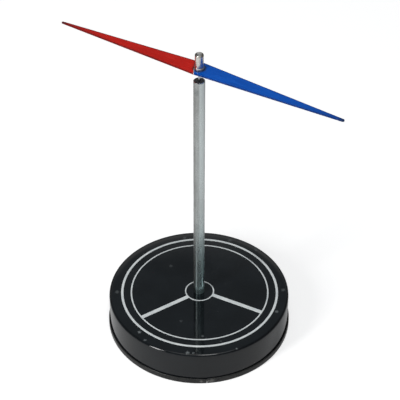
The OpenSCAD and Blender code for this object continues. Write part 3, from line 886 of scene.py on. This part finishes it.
def printed(name, loops):
    """A filled flat shape from closed loops, the outer edge first, then its holes."""
    curve = bpy.data.curves.new(name, "CURVE")
    curve.dimensions = "2D"
    curve.fill_mode = "BOTH"
    curve.extrude = (INK_T / 2 - INK_BEVEL) * MM
    curve.bevel_depth = INK_BEVEL * MM
    curve.bevel_resolution = 1
    curve.offset = -INK_BEVEL * MM
    for loop in loops:
        spline = curve.splines.new("POLY")
        spline.points.add(len(loop) - 1)
        for point, (x, y) in zip(spline.points, loop):
            point.co = (x * MM, y * MM, 0, 1)
        spline.use_cyclic_u = True
    shell = bpy.data.objects.new(name, curve)
    bpy.context.scene.collection.objects.link(shell)
    bpy.context.view_layer.update()
    mesh = bpy.data.meshes.new_from_object(shell.evaluated_get(bpy.context.evaluated_depsgraph_get()))
    bpy.data.objects.remove(shell)
    mesh.transform(Matrix.Rotation(PRINT_TURN, 4, "Z"))
    mesh.transform(Matrix.Translation((PRINT_AT[0] * MM, PRINT_AT[1] * MM, (PRINT_LOW.z + INK_T / 2) * MM)))
    piece = bpy.data.objects.new(name, mesh)
    bpy.context.scene.collection.objects.link(piece)
    return piece


print("ink: thick mm", round(INK_T, 3), "centred at", [round(v, 2) for v in PRINT_AT])

# %% [markdown]
# The outer ring is a piece of its own. The wheel is one piece, made of its outer edge, three openings and
# the hole in its hub. It stands for the CAD's print, and the ring comes with it.

# %% The outer ring, and the wheel inside it
OUTER_RING = (43.1, 1.28)
INNER_RING = (38.05, 0.76)
HUB_RING = (7.8, 0.66)
SPOKES = 3
SPOKE_W = 1.8


def edges(ring):
    """A ring's outer and inner radius."""
    radius, width = ring
    return radius + width / 2, radius - width / 2


outer_ring = printed("printed_outer_ring", [printed_loop(r) for r in edges(OUTER_RING)])
dress(outer_ring, ink, "stand", "print_ink")

rim_out, rim_in = edges(INNER_RING)
hub_out, hub_in = edges(HUB_RING)
windows = []
for i in range(SPOKES):
    first, last = TURN * i / SPOKES, TURN * (i + 1) / SPOKES
    wide = [math.asin(SPOKE_W / 2 / r) for r in (rim_in, hub_out)]
    windows.append(printed_loop(rim_in, first + wide[0], last - wide[0])
                   + printed_loop(hub_out, last - wide[1], first + wide[1]))
wheel = printed("printed_wheel", [printed_loop(rim_out)] + windows + [printed_loop(hub_in)])
dress(wheel, ink, "stand", "print_ink", "base_print")

# %% [markdown]
# ## The rod and its stud
# A drawn bar is cut off, chamfered, bored for the plug, and turned down at its foot to a stud that is
# threaded for the nut. A thread could be a swept helix that is joined to the stud, but the join would be
# ragged. Here each point of the stud moves in or out by where it lies on the helix, so the thread and the
# rod stay one mesh. That needs about ten rings of points per turn of thread.

# %% The rod
rod_low, rod_high = in_mm("rod")
plug_low, plug_high = in_mm("rod_plug")
ROD_R = 3.0
STUD_R = 2.5
BORE_R = 2.5
CHAMFER = 0.2
THREAD_PITCH = 0.8
THREAD_DEPTH = 0.43
THREAD_CREST = 0.12    # half the crest's width, as a share of half a pitch
THREAD_FLANK = 0.76    # a flank's width, as the same share
THREAD_FADE = 0.5
THREAD_ENDS = (rod_low.z + 0.25, pan_top - 1.2)


def threaded(across, height, angle, spot):
    """Cuts the thread's groove into the stud, fading out at both ends."""
    low, high = THREAD_ENDS
    if spot not in stud_spots or not low <= height <= high:
        return across, height, angle
    turn = (height / THREAD_PITCH - angle / TURN) % 1.0
    groove = 1 - min(1.0, max(0.0, (abs(2 * turn - 1) - THREAD_CREST) / THREAD_FLANK))
    fade = min(1.0, (height - low) / THREAD_FADE, (high - height) / THREAD_FADE)
    return across - THREAD_DEPTH * groove * fade, height, angle


outline = [(0, rod_low.z), (STUD_R - 0.45, rod_low.z)]
stud = straight((STUD_R, rod_low.z + 0.4), (STUD_R, pan_top), 110)
stud_spots = range(len(outline), len(outline) + len(stud))
outline += stud + [(STUD_R, pan_top), (ROD_R - 0.12, pan_top), (ROD_R, pan_top + 0.12)]
outline += straight((ROD_R, pan_top + 0.6), (ROD_R, rod_high.z - CHAMFER), 24)
outline += arc(ROD_R - CHAMFER, rod_high.z - CHAMFER, CHAMFER, 0, 70, 4)
outline += [(BORE_R + 0.06, rod_high.z), (BORE_R, rod_high.z - 0.06), (BORE_R, plug_low.z), (0, plug_low.z)]
rod = turned("plated_rod", outline, closed=False, steps=96, shape=threaded)
dress(rod, rod_zinc, "stand", "rod_steel", "rod")

# %% [markdown]
# ## The fixing under the base
# A large washer spreads the pull of the nut on the thin sheet, and a spring washer keeps it tight. A punched
# washer is rounded on the side where the punch went in and square on the other. A Bevel modifier would treat
# both sides alike, so the rounding is drawn in the outline.

# %% The large washer
washer_low, washer_high = in_mm("clamp_washer")
ROUND = 0.3
outline = [(STUD_HOLE_R, washer_low.z + ROUND), (STUD_HOLE_R + ROUND, washer_low.z)]
outline += arc(washer_high.x - ROUND, washer_low.z + ROUND, ROUND, -90, 0, 5)
outline += [(washer_high.x, washer_high.z - 0.05), (washer_high.x - 0.05, washer_high.z),
            (STUD_HOLE_R + 0.05, washer_high.z), (STUD_HOLE_R, washer_high.z - 0.05)]
clamp = turned("clamp_washer_punched", outline, closed=True, steps=144)
dress(clamp, fastener_zinc, "stand", "fastener_steel", "clamp_washer")

# %% [markdown]
# The spring washer is one turn of a coil, cut from it on a slant. Tightened down, it lies flat, so it needs
# no helix: the lathe stops just short of a full turn, and the slit is opened by moving points. A block cut
# out with a Boolean would look alike, but would leave long thin faces round the cut.

# %% The spring washer
spring_low, spring_high = in_mm("spring_washer")
SLIT = 0.8
SLIT_SLANT = math.radians(25)
ALMOST_ROUND = TURN * 0.9999


def slit_open(across, height, angle, spot):
    """Keeps the slit's two faces parallel and slants them, as a coil cut off its bar has them."""
    half = SLIT / 2 / math.cos(SLIT_SLANT) / across
    turn = half + angle / TURN * (TURN - 2 * half)
    return across, height, turn - height * math.tan(SLIT_SLANT) / across


outline = [(STUD_HOLE_R, spring_low.z + 0.15), (STUD_HOLE_R + 0.15, spring_low.z)]
outline += arc(spring_high.x - 0.2, spring_low.z + 0.2, 0.2, -90, 0, 3)
outline += arc(spring_high.x - 0.2, spring_high.z - 0.2, 0.2, 0, 90, 3)
outline += [(STUD_HOLE_R + 0.15, spring_high.z), (STUD_HOLE_R, spring_high.z - 0.15)]
spring = turned("spring_washer_coil", outline, closed=True, steps=96, sweep=ALMOST_ROUND, shape=slit_open)
dress(spring, black_spring, "stand", "spring_steel", "spring_washer")

# %% [markdown]
# ## The nut
# A nut is a slice of hexagon bar whose corners are turned off. A six-sided cylinder could be cut by a cone.
# The lathe helper does it from a round outline without a cut: each point is pulled in to the hexagon where
# the hexagon is nearer to the axis, and the curved edges of the bevels come by themselves.

# %% The nut
nut_low, nut_high = in_mm("rod_nut")
NUT_FLAT = 4.0
NUT_CORNER = NUT_FLAT / math.cos(math.radians(30))
NUT_BEVEL = (NUT_CORNER - NUT_FLAT) / 2


def hexagonal(across, height, angle, spot):
    """Pulls a point in to the hexagon's flat."""
    from_middle = angle % (TURN / 6) - TURN / 12
    return min(across, NUT_FLAT / math.cos(from_middle)), height, angle


nut_bore = STUD_R + 0.02
outline = [(nut_bore, nut_low.z + 0.3), (nut_bore + 0.3, nut_low.z)]
outline += [(r, nut_low.z) for r in (3.2, 3.7)]
outline += straight((NUT_FLAT - 0.05, nut_low.z), (NUT_CORNER, nut_low.z + NUT_BEVEL), 8)
outline += straight((NUT_CORNER, nut_low.z + NUT_BEVEL), (NUT_CORNER, nut_high.z - NUT_BEVEL), 4)
outline += straight((NUT_CORNER, nut_high.z - NUT_BEVEL), (NUT_FLAT - 0.05, nut_high.z), 8)
outline += [(NUT_FLAT - 0.05, nut_high.z), (nut_bore + 0.3, nut_high.z), (nut_bore, nut_high.z - 0.3)]
nut = turned("hexagon_nut", outline, closed=True, shape=hexagonal)
dress(nut, fastener_zinc, "stand", "fastener_steel", "rod_nut")

# %% [markdown]
# ## The plug and the point
# The plug is pressed into the bore, so its edge is a little below the rod's. Its top is slightly domed and
# sinks a little round the steel. A plain cylinder would fill the bore too, but then its top would mirror
# the sky as one even grey.

# %% The plug
pin_low, pin_high = in_mm("pivot_pin")
PIN_R = pin_high.x
hole_r = PIN_R + 0.02
plug_r = plug_high.x
outline = [(0, plug_low.z), (plug_r - 0.4, plug_low.z), (plug_r, plug_low.z + 0.4)]
outline += straight((plug_r, plug_low.z + 1), (plug_r, plug_high.z - 0.5), 6)
outline += arc(plug_r - 0.3, plug_high.z - 0.42, 0.3, 0, 78, 5)
outline += [(1.75, plug_high.z - 0.06), (1.25, plug_high.z), (0.95, plug_high.z - 0.02),
            (hole_r + 0.08, plug_high.z - 0.12), (hole_r, plug_high.z - 0.2)]
outline += [(hole_r, pin_low.z), (0, pin_low.z)]
plug = turned("plug", outline, closed=False, steps=96)
dress(plug, plug_black, "stand", "plug_plastic", "rod_plug")

# %% [markdown]
# The point is ground to a long taper that ends in a tiny ball. A plain cone would be simpler, but so sharp a
# tip would soon bend, and the needle would have no round spot to rock on. The ball's centre is the pivot, and
# the jewel, the cap and both joints are measured from it.

# %% The point
TIP_R = 0.15
PIN_TAPER = 3.0
pivot_z = pin_high.z - TIP_R
outline = [(0, pin_low.z), (PIN_R - 0.1, pin_low.z), (PIN_R, pin_low.z + 0.1)]
outline += straight((PIN_R, pin_low.z + 0.5), (PIN_R, pivot_z - PIN_TAPER), 8)
outline += straight((PIN_R, pivot_z - PIN_TAPER), (TIP_R, pivot_z), 6)
outline += arc(0, pivot_z, TIP_R, 0, 84, 6)
outline += [(0, pivot_z + TIP_R)]
pin = turned("steel_point", outline, closed=False, steps=48)
dress(pin, point_steel, "stand", "point_steel", "pivot_pin")

# %% [markdown]
# ## The jewel
# The stone is domed above, where it beds in the cap, and has a cone ground into it below. The cone's round
# bottom is only a twentieth of a millimetre wider than the point, so the needle rocks about one fixed spot.
# A ball with a cone cut out of it would be another way. Both curves share one centre here, so one outline
# with two arcs is shorter and exact.

# %% The jewel
JEWEL_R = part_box("jewel_cup")[1].x / MM
JEWEL_SKIRT = pivot_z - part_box("jewel_cup")[0].z / MM
CUP_R = TIP_R + 0.05
CUP_ANGLE = 40
cone_top = CUP_R * math.sin(math.radians(CUP_ANGLE))
cone_r = CUP_R * math.cos(math.radians(CUP_ANGLE))
mouth_r = cone_r + (cone_top + JEWEL_SKIRT) * math.tan(math.radians(CUP_ANGLE))
skirt_r = math.sqrt(JEWEL_R ** 2 - JEWEL_SKIRT ** 2)
skirt_at = -math.degrees(math.asin(JEWEL_SKIRT / JEWEL_R))
outline = [(0, pivot_z + CUP_R)] + arc(0, pivot_z, CUP_R, 75, CUP_ANGLE, 5)
outline += straight((cone_r, pivot_z + cone_top), (mouth_r - 0.03, pivot_z - JEWEL_SKIRT + 0.04), 5)[1:]
outline += [(mouth_r, pivot_z - JEWEL_SKIRT), (skirt_r - 0.04, pivot_z - JEWEL_SKIRT)]
outline += arc(0, pivot_z, JEWEL_R, skirt_at + 2, 87, 20) + [(0, pivot_z + JEWEL_R)]
jewel = turned("jewel", outline, closed=False, steps=72)
dress(jewel, ruby, "jewel", "jewel_stone", "jewel_cup")
print("jewel cup mouth mm:", round(mouth_r, 2))

# %% [markdown]
# ## The cap
# The cap is turned from brass bar and plated. Its tail goes through the blade and is rolled over below, like
# an eyelet, which grips the blade between the roll and the flange. The tool leaves faint rings on the wall.
# Barrel, flange and roll could be three meshes that overlap. As one outline they have no hidden faces, and
# the fillet at the flange is smooth.

# %% The cap
cap_low, cap_high = in_mm("needle_cap")
coat_top = COAT_TOP / MM
FLANGE_R = cap_high.x
FILLET = 0.25
FLANGE_T = 0.85
BARREL_R = FLANGE_R - FILLET
BORE = BARREL_R - 0.9
TAIL_R = BORE + 0.42
ROLL_R = TAIL_R + 0.6
ROLL_T = 0.4
EDGE_R = 0.9
CROWN_R = 4.5
# Rings on the crown: how far from the axis, and how far below the crown's own curve.
CROWN_RINGS = [(1.66, 0.012), (1.56, 0.003), (1.3, 0.0), (1.0, 0.0), (0.7, 0.0), (0.4, 0.0), (0.15, 0.0)]
MARK_DEPTH = 0.008
MARKS = 17.0           # radians of wave per millimetre


def tool_marks(across, height, angle, spot):
    """Faint rings on the barrel."""
    if spot in barrel_spots:
        across -= MARK_DEPTH + MARK_DEPTH * math.sin(height * MARKS)
    return across, height, angle


crown_at = cap_high.z - CROWN_R
outline = [(0, pivot_z + BORE)] + arc(0, pivot_z, BORE, 80, 0, 10)
outline += straight((BORE, pivot_z - 0.5), (BORE, cap_low.z + 0.12), 6) + [(BORE, cap_low.z + 0.12)]
outline += [(BORE + 0.12, cap_low.z)]
outline += arc(ROLL_R - ROLL_T / 2, cap_low.z + ROLL_T / 2, ROLL_T / 2, -90, 90, 8)
outline += [(TAIL_R, cap_low.z + ROLL_T), (TAIL_R, coat_top), (FLANGE_R - 0.06, coat_top)]
outline += [(FLANGE_R, coat_top + 0.06), (FLANGE_R, coat_top + FLANGE_T - 0.05)]
outline += arc(FLANGE_R, coat_top + FLANGE_T + FILLET, FILLET, 266, 180, 8)
first_barrel = len(outline)
outline += straight((BARREL_R, coat_top + FLANGE_T + FILLET + 0.1), (BARREL_R, cap_high.z - EDGE_R), 42)
barrel_spots = range(first_barrel, len(outline))
outline += arc(BARREL_R - EDGE_R, cap_high.z - EDGE_R, EDGE_R, 0, 46, 6)
outline += [(r, crown_at + math.sqrt(CROWN_R ** 2 - r ** 2) - lower) for r, lower in CROWN_RINGS]
outline += [(0, cap_high.z)]
cap = turned("needle_cap_turned", outline, closed=False, steps=128, shape=tool_marks)
dress(cap, nickel, "needle", "cap_plate", "needle_cap")

# %% [markdown]
# ## The blade and its two coats
# The blade is sheared from thin spring steel. Its shape is a row of cross sections along X, each a flat
# rectangle with softened corners. A grid with a Solidify modifier could do it, but its edges would be as
# sharp as the corners of a box. The needle droops a little towards its tips, so the middle of each section
# sinks with its distance from the cap.

# %% Measures of the blade
BLADE_T = 0.6
PAINT_T = 0.08
blade_low, blade_high = in_mm("needle_blade")
blade_mid = blade_high.z - BLADE_T / 2
HALF_W = blade_high.y
RED_HALF = -blade_low.x
BLUE_HALF = blade_high.x
RED_END = RED_TIP_R / MM - PAINT_T
BLUE_END = BLUE_TIP_R / MM - PAINT_T
FLAT_HALF = FLANGE_R + BLADE_T
BLADE_SLOPE = 0.8 / RED_HALF
print("blade in mm:", round(RED_HALF, 2), "red,", round(BLUE_HALF, 2), "blue,", round(2 * HALF_W, 2), "wide")

# %% Cross sections of the blade
EDGE_SOFT = 0.14
SIDE_POINTS = 5
FLAT_POINTS = 7
LONG_STEPS = 36
CROWDING = 1.1         # above 1, sections stand closer together near the cap
TIP_STEPS = 8
TIP_STEP = math.radians(10.5)


def section(x, half_w, grow):
    """A closed loop of points across the blade at x, counted the same way everywhere."""
    half_t = BLADE_T / 2 + grow
    middle = blade_mid - BLADE_SLOPE * max(0.0, abs(x) - FLAT_HALF)
    corner = min(EDGE_SOFT + grow, half_w * 0.7, half_t * 0.8)
    loop = []
    for quarter, (side, top) in enumerate([(1, 1), (-1, 1), (-1, -1), (1, -1)]):
        start = 90 * quarter
        for i in range(SIDE_POINTS + 1):
            turn = math.radians(start + 90 * i / SIDE_POINTS)
            loop.append((side * (half_w - corner) + corner * math.cos(turn),
                         top * (half_t - corner) + corner * math.sin(turn)))
        if quarter in (0, 2):
            reach = half_w - corner
            for i in range(1, FLAT_POINTS + 1):
                share = 1 - 2 * i / (FLAT_POINTS + 1)
                loop.append((side * reach * share, top * half_t))
    return [Vector((x * MM, y * MM, (middle + z) * MM)) for y, z in loop]


def tip(side):
    """How far out the round tip of one half is centred, and its radius: red below 0, blue above."""
    return (RED_HALF - RED_END, RED_END) if side < 0 else (BLUE_HALF - BLUE_END, BLUE_END)


def half_width(x, grow):
    """Half the blade's width at x, bare plus the coat."""
    far, end = tip(x)
    along = min(1.0, abs(x) / far)
    return (HALF_W + grow) * (1 - along) + (end + grow) * along


def stations(side, grow=0):
    """Sections from the middle out to one round tip: side is -1 for red and +1 for blue."""
    far, end = tip(side)
    loops = []
    for i in range(LONG_STEPS + 1):
        x = side * far * (i / LONG_STEPS) ** CROWDING
        loops.append(section(x, half_width(x, grow), grow))
    for i in range(1, TIP_STEPS + 1):
        out, half_w = (end + grow) * math.sin(TIP_STEP * i), (end + grow) * math.cos(TIP_STEP * i)
        loops.append(section(side * (far + out), half_w, grow))
    return loops


print("sections in a half:", len(stations(1)), "with points:", len(stations(1)[0]))

# %% [markdown]
# The cap's tail goes through the steel and through the blue coat. A hole in a skin could be modelled ring by
# ring. A Boolean modifier with a cylinder drills it exactly, and the same `cut` takes the coats off at
# their joint.

# %% Cutting one piece with another
def cut(piece, made):
    """Takes a closed shape out of a piece with a Boolean modifier, and keeps the result as the mesh."""
    tool = as_object("tool", made)
    taken = piece.modifiers.new("cut", "BOOLEAN")
    taken.object = tool
    taken.solver = "EXACT"
    bpy.context.view_layer.update()
    mesh = bpy.data.meshes.new_from_object(piece.evaluated_get(bpy.context.evaluated_depsgraph_get()))
    piece.modifiers.clear()
    piece.data = mesh
    mesh.set_sharp_from_angle(angle=SHARP_ANGLE)
    bpy.data.objects.remove(tool)


DRILL_PLAY = 0.02
DRILL_STEPS = 96
DRILL_LONG = 4.0


def drilled(piece):
    """The hole for the cap's tail."""
    drill = bmesh.new()
    radius = (TAIL_R + DRILL_PLAY) * MM
    bmesh.ops.create_cone(drill, cap_ends=True, segments=DRILL_STEPS, radius1=radius, radius2=radius,
                          depth=DRILL_LONG * MM, matrix=Matrix.Translation((0, 0, blade_mid * MM)))
    cut(piece, drill)


print("the hole for the cap's tail, mm across:", round(2 * (TAIL_R + DRILL_PLAY), 2))

# %% [markdown]
# The bare steel is seen between the coats, and its edges would show if the paint chipped. The sections of
# both halves make one long skin, closed at each tip. An extruded curve would be quicker, but would have
# neither the droop nor the softened edges.

# %% The blade
def bridge(made, low, high):
    """A closed band of faces between two loops."""
    count = len(low)
    for i in range(count):
        ahead = (i + 1) % count
        made.faces.new((low[i], low[ahead], high[ahead], high[i]))


def skin(made, loops):
    """Faces between neighbouring loops. Gives back the loops as rows of points."""
    rows = [[made.verts.new(co) for co in loop] for loop in loops]
    for low, high in zip(rows, rows[1:]):
        bridge(made, low, high)
    return rows


made = bmesh.new()
rows = skin(made, list(reversed(stations(-1))) + stations(1)[1:])
made.faces.new(rows[0])
made.faces.new(rows[-1])
bmesh.ops.recalc_face_normals(made, faces=made.faces)
blade = as_object("blade", made)
drilled(blade)
dress(blade, bare_steel, "needle", "blade_steel", "needle_blade")

# %% [markdown]
# A coat is the blade's own shape a little larger, with the blade's shape inside it, so it is a true sleeve.
# Two colours on one blade would be less work, but the coats are pieces of their own, and their cut edges
# show beside the bare line. The colours were masked off along a slanting line just beside the cap. So each
# sleeve is built too long, and a block cuts its end off along that line.

# %% The red coat and the blue coat
JOINT_OFF = 2.6
JOINT_GAP = 0.3
JOINT_SLANT = math.radians(28)
BLOCK = 60.0
PAST_CENTRE = 8.0


def cut_along_joint(piece, side):
    """Cuts off all that lies past the joint. The block's face is square to the joint's own direction."""
    block = bmesh.new()
    centre = side * JOINT_GAP / 2 - JOINT_OFF - side * BLOCK / 2
    place = Matrix.Rotation(JOINT_SLANT, 4, "Z") @ Matrix.Translation((centre * MM, 0, blade_mid * MM))
    bmesh.ops.create_cube(block, size=BLOCK * MM, matrix=place)
    cut(piece, block)


def sleeve(name, sections, inside):
    """A coat between two rows of sections, open at its first end and closed at the tip."""
    made = bmesh.new()
    outer = skin(made, sections)
    inner = skin(made, inside)
    bridge(made, outer[0], inner[0])
    made.faces.new(outer[-1])
    made.faces.new(inner[-1])
    bmesh.ops.recalc_face_normals(made, faces=made.faces)
    return as_object(name, made)


def from_past_centre(grow):
    """The blue side's sections, starting on the red side, where the slanting joint reaches furthest."""
    return [section(-PAST_CENTRE, half_width(-PAST_CENTRE, grow), grow)] + stations(1, grow)


red_coat = sleeve("red_coat", stations(-1, PAINT_T), stations(-1))
cut_along_joint(red_coat, -1)
dress(red_coat, red_paint, "needle", "red_paint", "red_enamel")
blue_coat = sleeve("blue_coat", from_past_centre(PAINT_T), from_past_centre(0))
cut_along_joint(blue_coat, 1)
drilled(blue_coat)
dress(blue_coat, blue_paint, "needle", "blue_paint", "blue_enamel")

# %% [markdown]
# ## The floor
# A plain pale floor takes the shadow. The photograph was cut out on white, so the floor also gives off light
# of its own towards the camera, and a little towards mirrors and glass. That brings it to white without
# lighting the object. A white plane with no shading would look the same from above, but would take no
# shadow.

# %% The floor
FLOOR_HALF = 6.0
FLOOR_WHITE = 0.76
GLOW_CAMERA = 0.6
GLOW_MIRROR = 0.12

floor_mesh = bpy.data.meshes.new("floor")
corners = [(x * FLOOR_HALF, y * FLOOR_HALF, 0) for x, y in ((-1, -1), (1, -1), (1, 1), (-1, 1))]
floor_mesh.from_pydata(corners, [], [(0, 1, 2, 3)])
floor = bpy.data.objects.new("floor", floor_mesh)
bpy.context.scene.collection.objects.link(floor)

floor_paint, wiring, shader = new_finish("floor_paint", Base_Color=grey(FLOOR_WHITE), Roughness=0.9, IOR=1.3,
                                         Emission_Strength=1.0)
path = wiring.add("ShaderNodeLightPath").outputs
mirrored = wiring.plus(path["Is Glossy Ray"], path["Is Transmission Ray"], clamp=True)
glow = wiring.blend(mirrored, grey(0), grey(GLOW_MIRROR))
glow = wiring.blend(path["Is Camera Ray"], glow, grey(GLOW_CAMERA))
feed(wiring, shader, Emission_Color=glow)
floor.data.materials.append(floor_paint)
print("floor:", 2 * FLOOR_HALF, "m across")

# %% [markdown]
# ## The world
# The black base and the nickel cap mirror the whole room, so the room is drawn where they show it. It is dim
# above and dark low down, with a white sheet low down behind the object, a lit band of wall higher up there,
# which greys the far part of the base's top, and a small bright patch nearly overhead. Both sides are dark,
# which gives the cap its two dark flanks. The camera itself sees plain white. A photograph of a studio could
# light the scene too, but here each part of the room can be moved by itself.

# %% The world
SKY_HIGH = 0.215
SKY_LOW = 1.0
SKY_SIDE = 0.05
SKY_WALL = 0.7
SKY_BESIDE = 0.08
SKY_OVER = 1.25


def above(degrees):
    """How high a direction reaches that points so many degrees up."""
    return math.sin(math.radians(degrees))


def within(degrees):
    """What the dot of two directions is when they are so many degrees apart."""
    return math.cos(math.radians(degrees))


world = bpy.data.worlds.new("room")
world.use_nodes = True
bpy.context.scene.world = world
wiring = Wiring(world.node_tree)
towards = wiring.add("ShaderNodeTexCoord").outputs["Generated"]
height = wiring.split(towards)["Z"]
behind = wiring.dot(wiring.level(towards), from_side(180))
beside = wiring.math("ABSOLUTE", wiring.dot(towards, from_side(90)))

low = wiring.ramp(height, above(6), above(28), 1.0, 0.0)
sweep = wiring.times(low, wiring.ramp(behind, within(30), within(14)))
wall = wiring.times(wiring.ramp(height, above(37.2), above(39.2)),
                    wiring.ramp(height, above(40.6), above(42.6), 1.0, 0.0))
wall = wiring.times(wall, wiring.ramp(behind, within(40), within(20)))
patch = wiring.ramp(wiring.dot(towards, from_side(15, 80)), within(25), within(15))

room = (SKY_HIGH * 0.96, SKY_HIGH * 1.07, SKY_HIGH * 1.16, 1)
for share, level in [(low, SKY_SIDE), (wall, SKY_WALL), (sweep, SKY_LOW),
                     (wiring.ramp(beside, 0.22, 0.5), SKY_BESIDE), (patch, SKY_OVER)]:
    room = wiring.blend(share, room, grey(level))
path = wiring.add("ShaderNodeLightPath").outputs
straight_through = wiring.plus(path["Is Camera Ray"], path["Is Transmission Ray"], clamp=True)
seen = wiring.blend(straight_through, room, grey(1))
wiring.tree.links.new(seen, world.node_tree.nodes["Background"].inputs["Color"])
print("room: low", SKY_LOW, "high", SKY_HIGH, "overhead", SKY_OVER)

# %% [markdown]
# ## Lamps
# Two soft boxes. One stands high up, almost in front. The other is low, tall and narrow, and stands to the
# left. Each shows as one short bright streak on the base's rounded edge and on the cap. Point lamps would
# cast hard shadows and show as dots.

# %% Two soft boxes
AIM = Vector((0, 0, 60 * MM))


def soft_box(name, azimuth, elevation, away, wide, tall, radiance):
    """An area lamp that faces the needle. Its power in watts is pi times its area times its radiance."""
    lamp = bpy.data.lights.new(name, "AREA")
    lamp.shape = "RECTANGLE"
    lamp.size = wide
    lamp.size_y = tall
    lamp.energy = math.pi * wide * tall * radiance
    box = bpy.data.objects.new(name, lamp)
    box.location = AIM + from_side(azimuth, elevation) * away
    box.rotation_euler = (box.location - AIM).to_track_quat("Z", "Y").to_euler()
    bpy.context.scene.collection.objects.link(box)
    print(name, "watts:", round(lamp.energy, 1))


soft_box("soft_box_right", azimuth=17, elevation=67, away=1.6, wide=0.34, tall=0.62, radiance=5.6)
soft_box("soft_box_left", azimuth=-50, elevation=26, away=1.5, wide=0.29, tall=1.0, radiance=13.5)

# %% [markdown]
# The dressed model has to stay inside the CAD model's box.
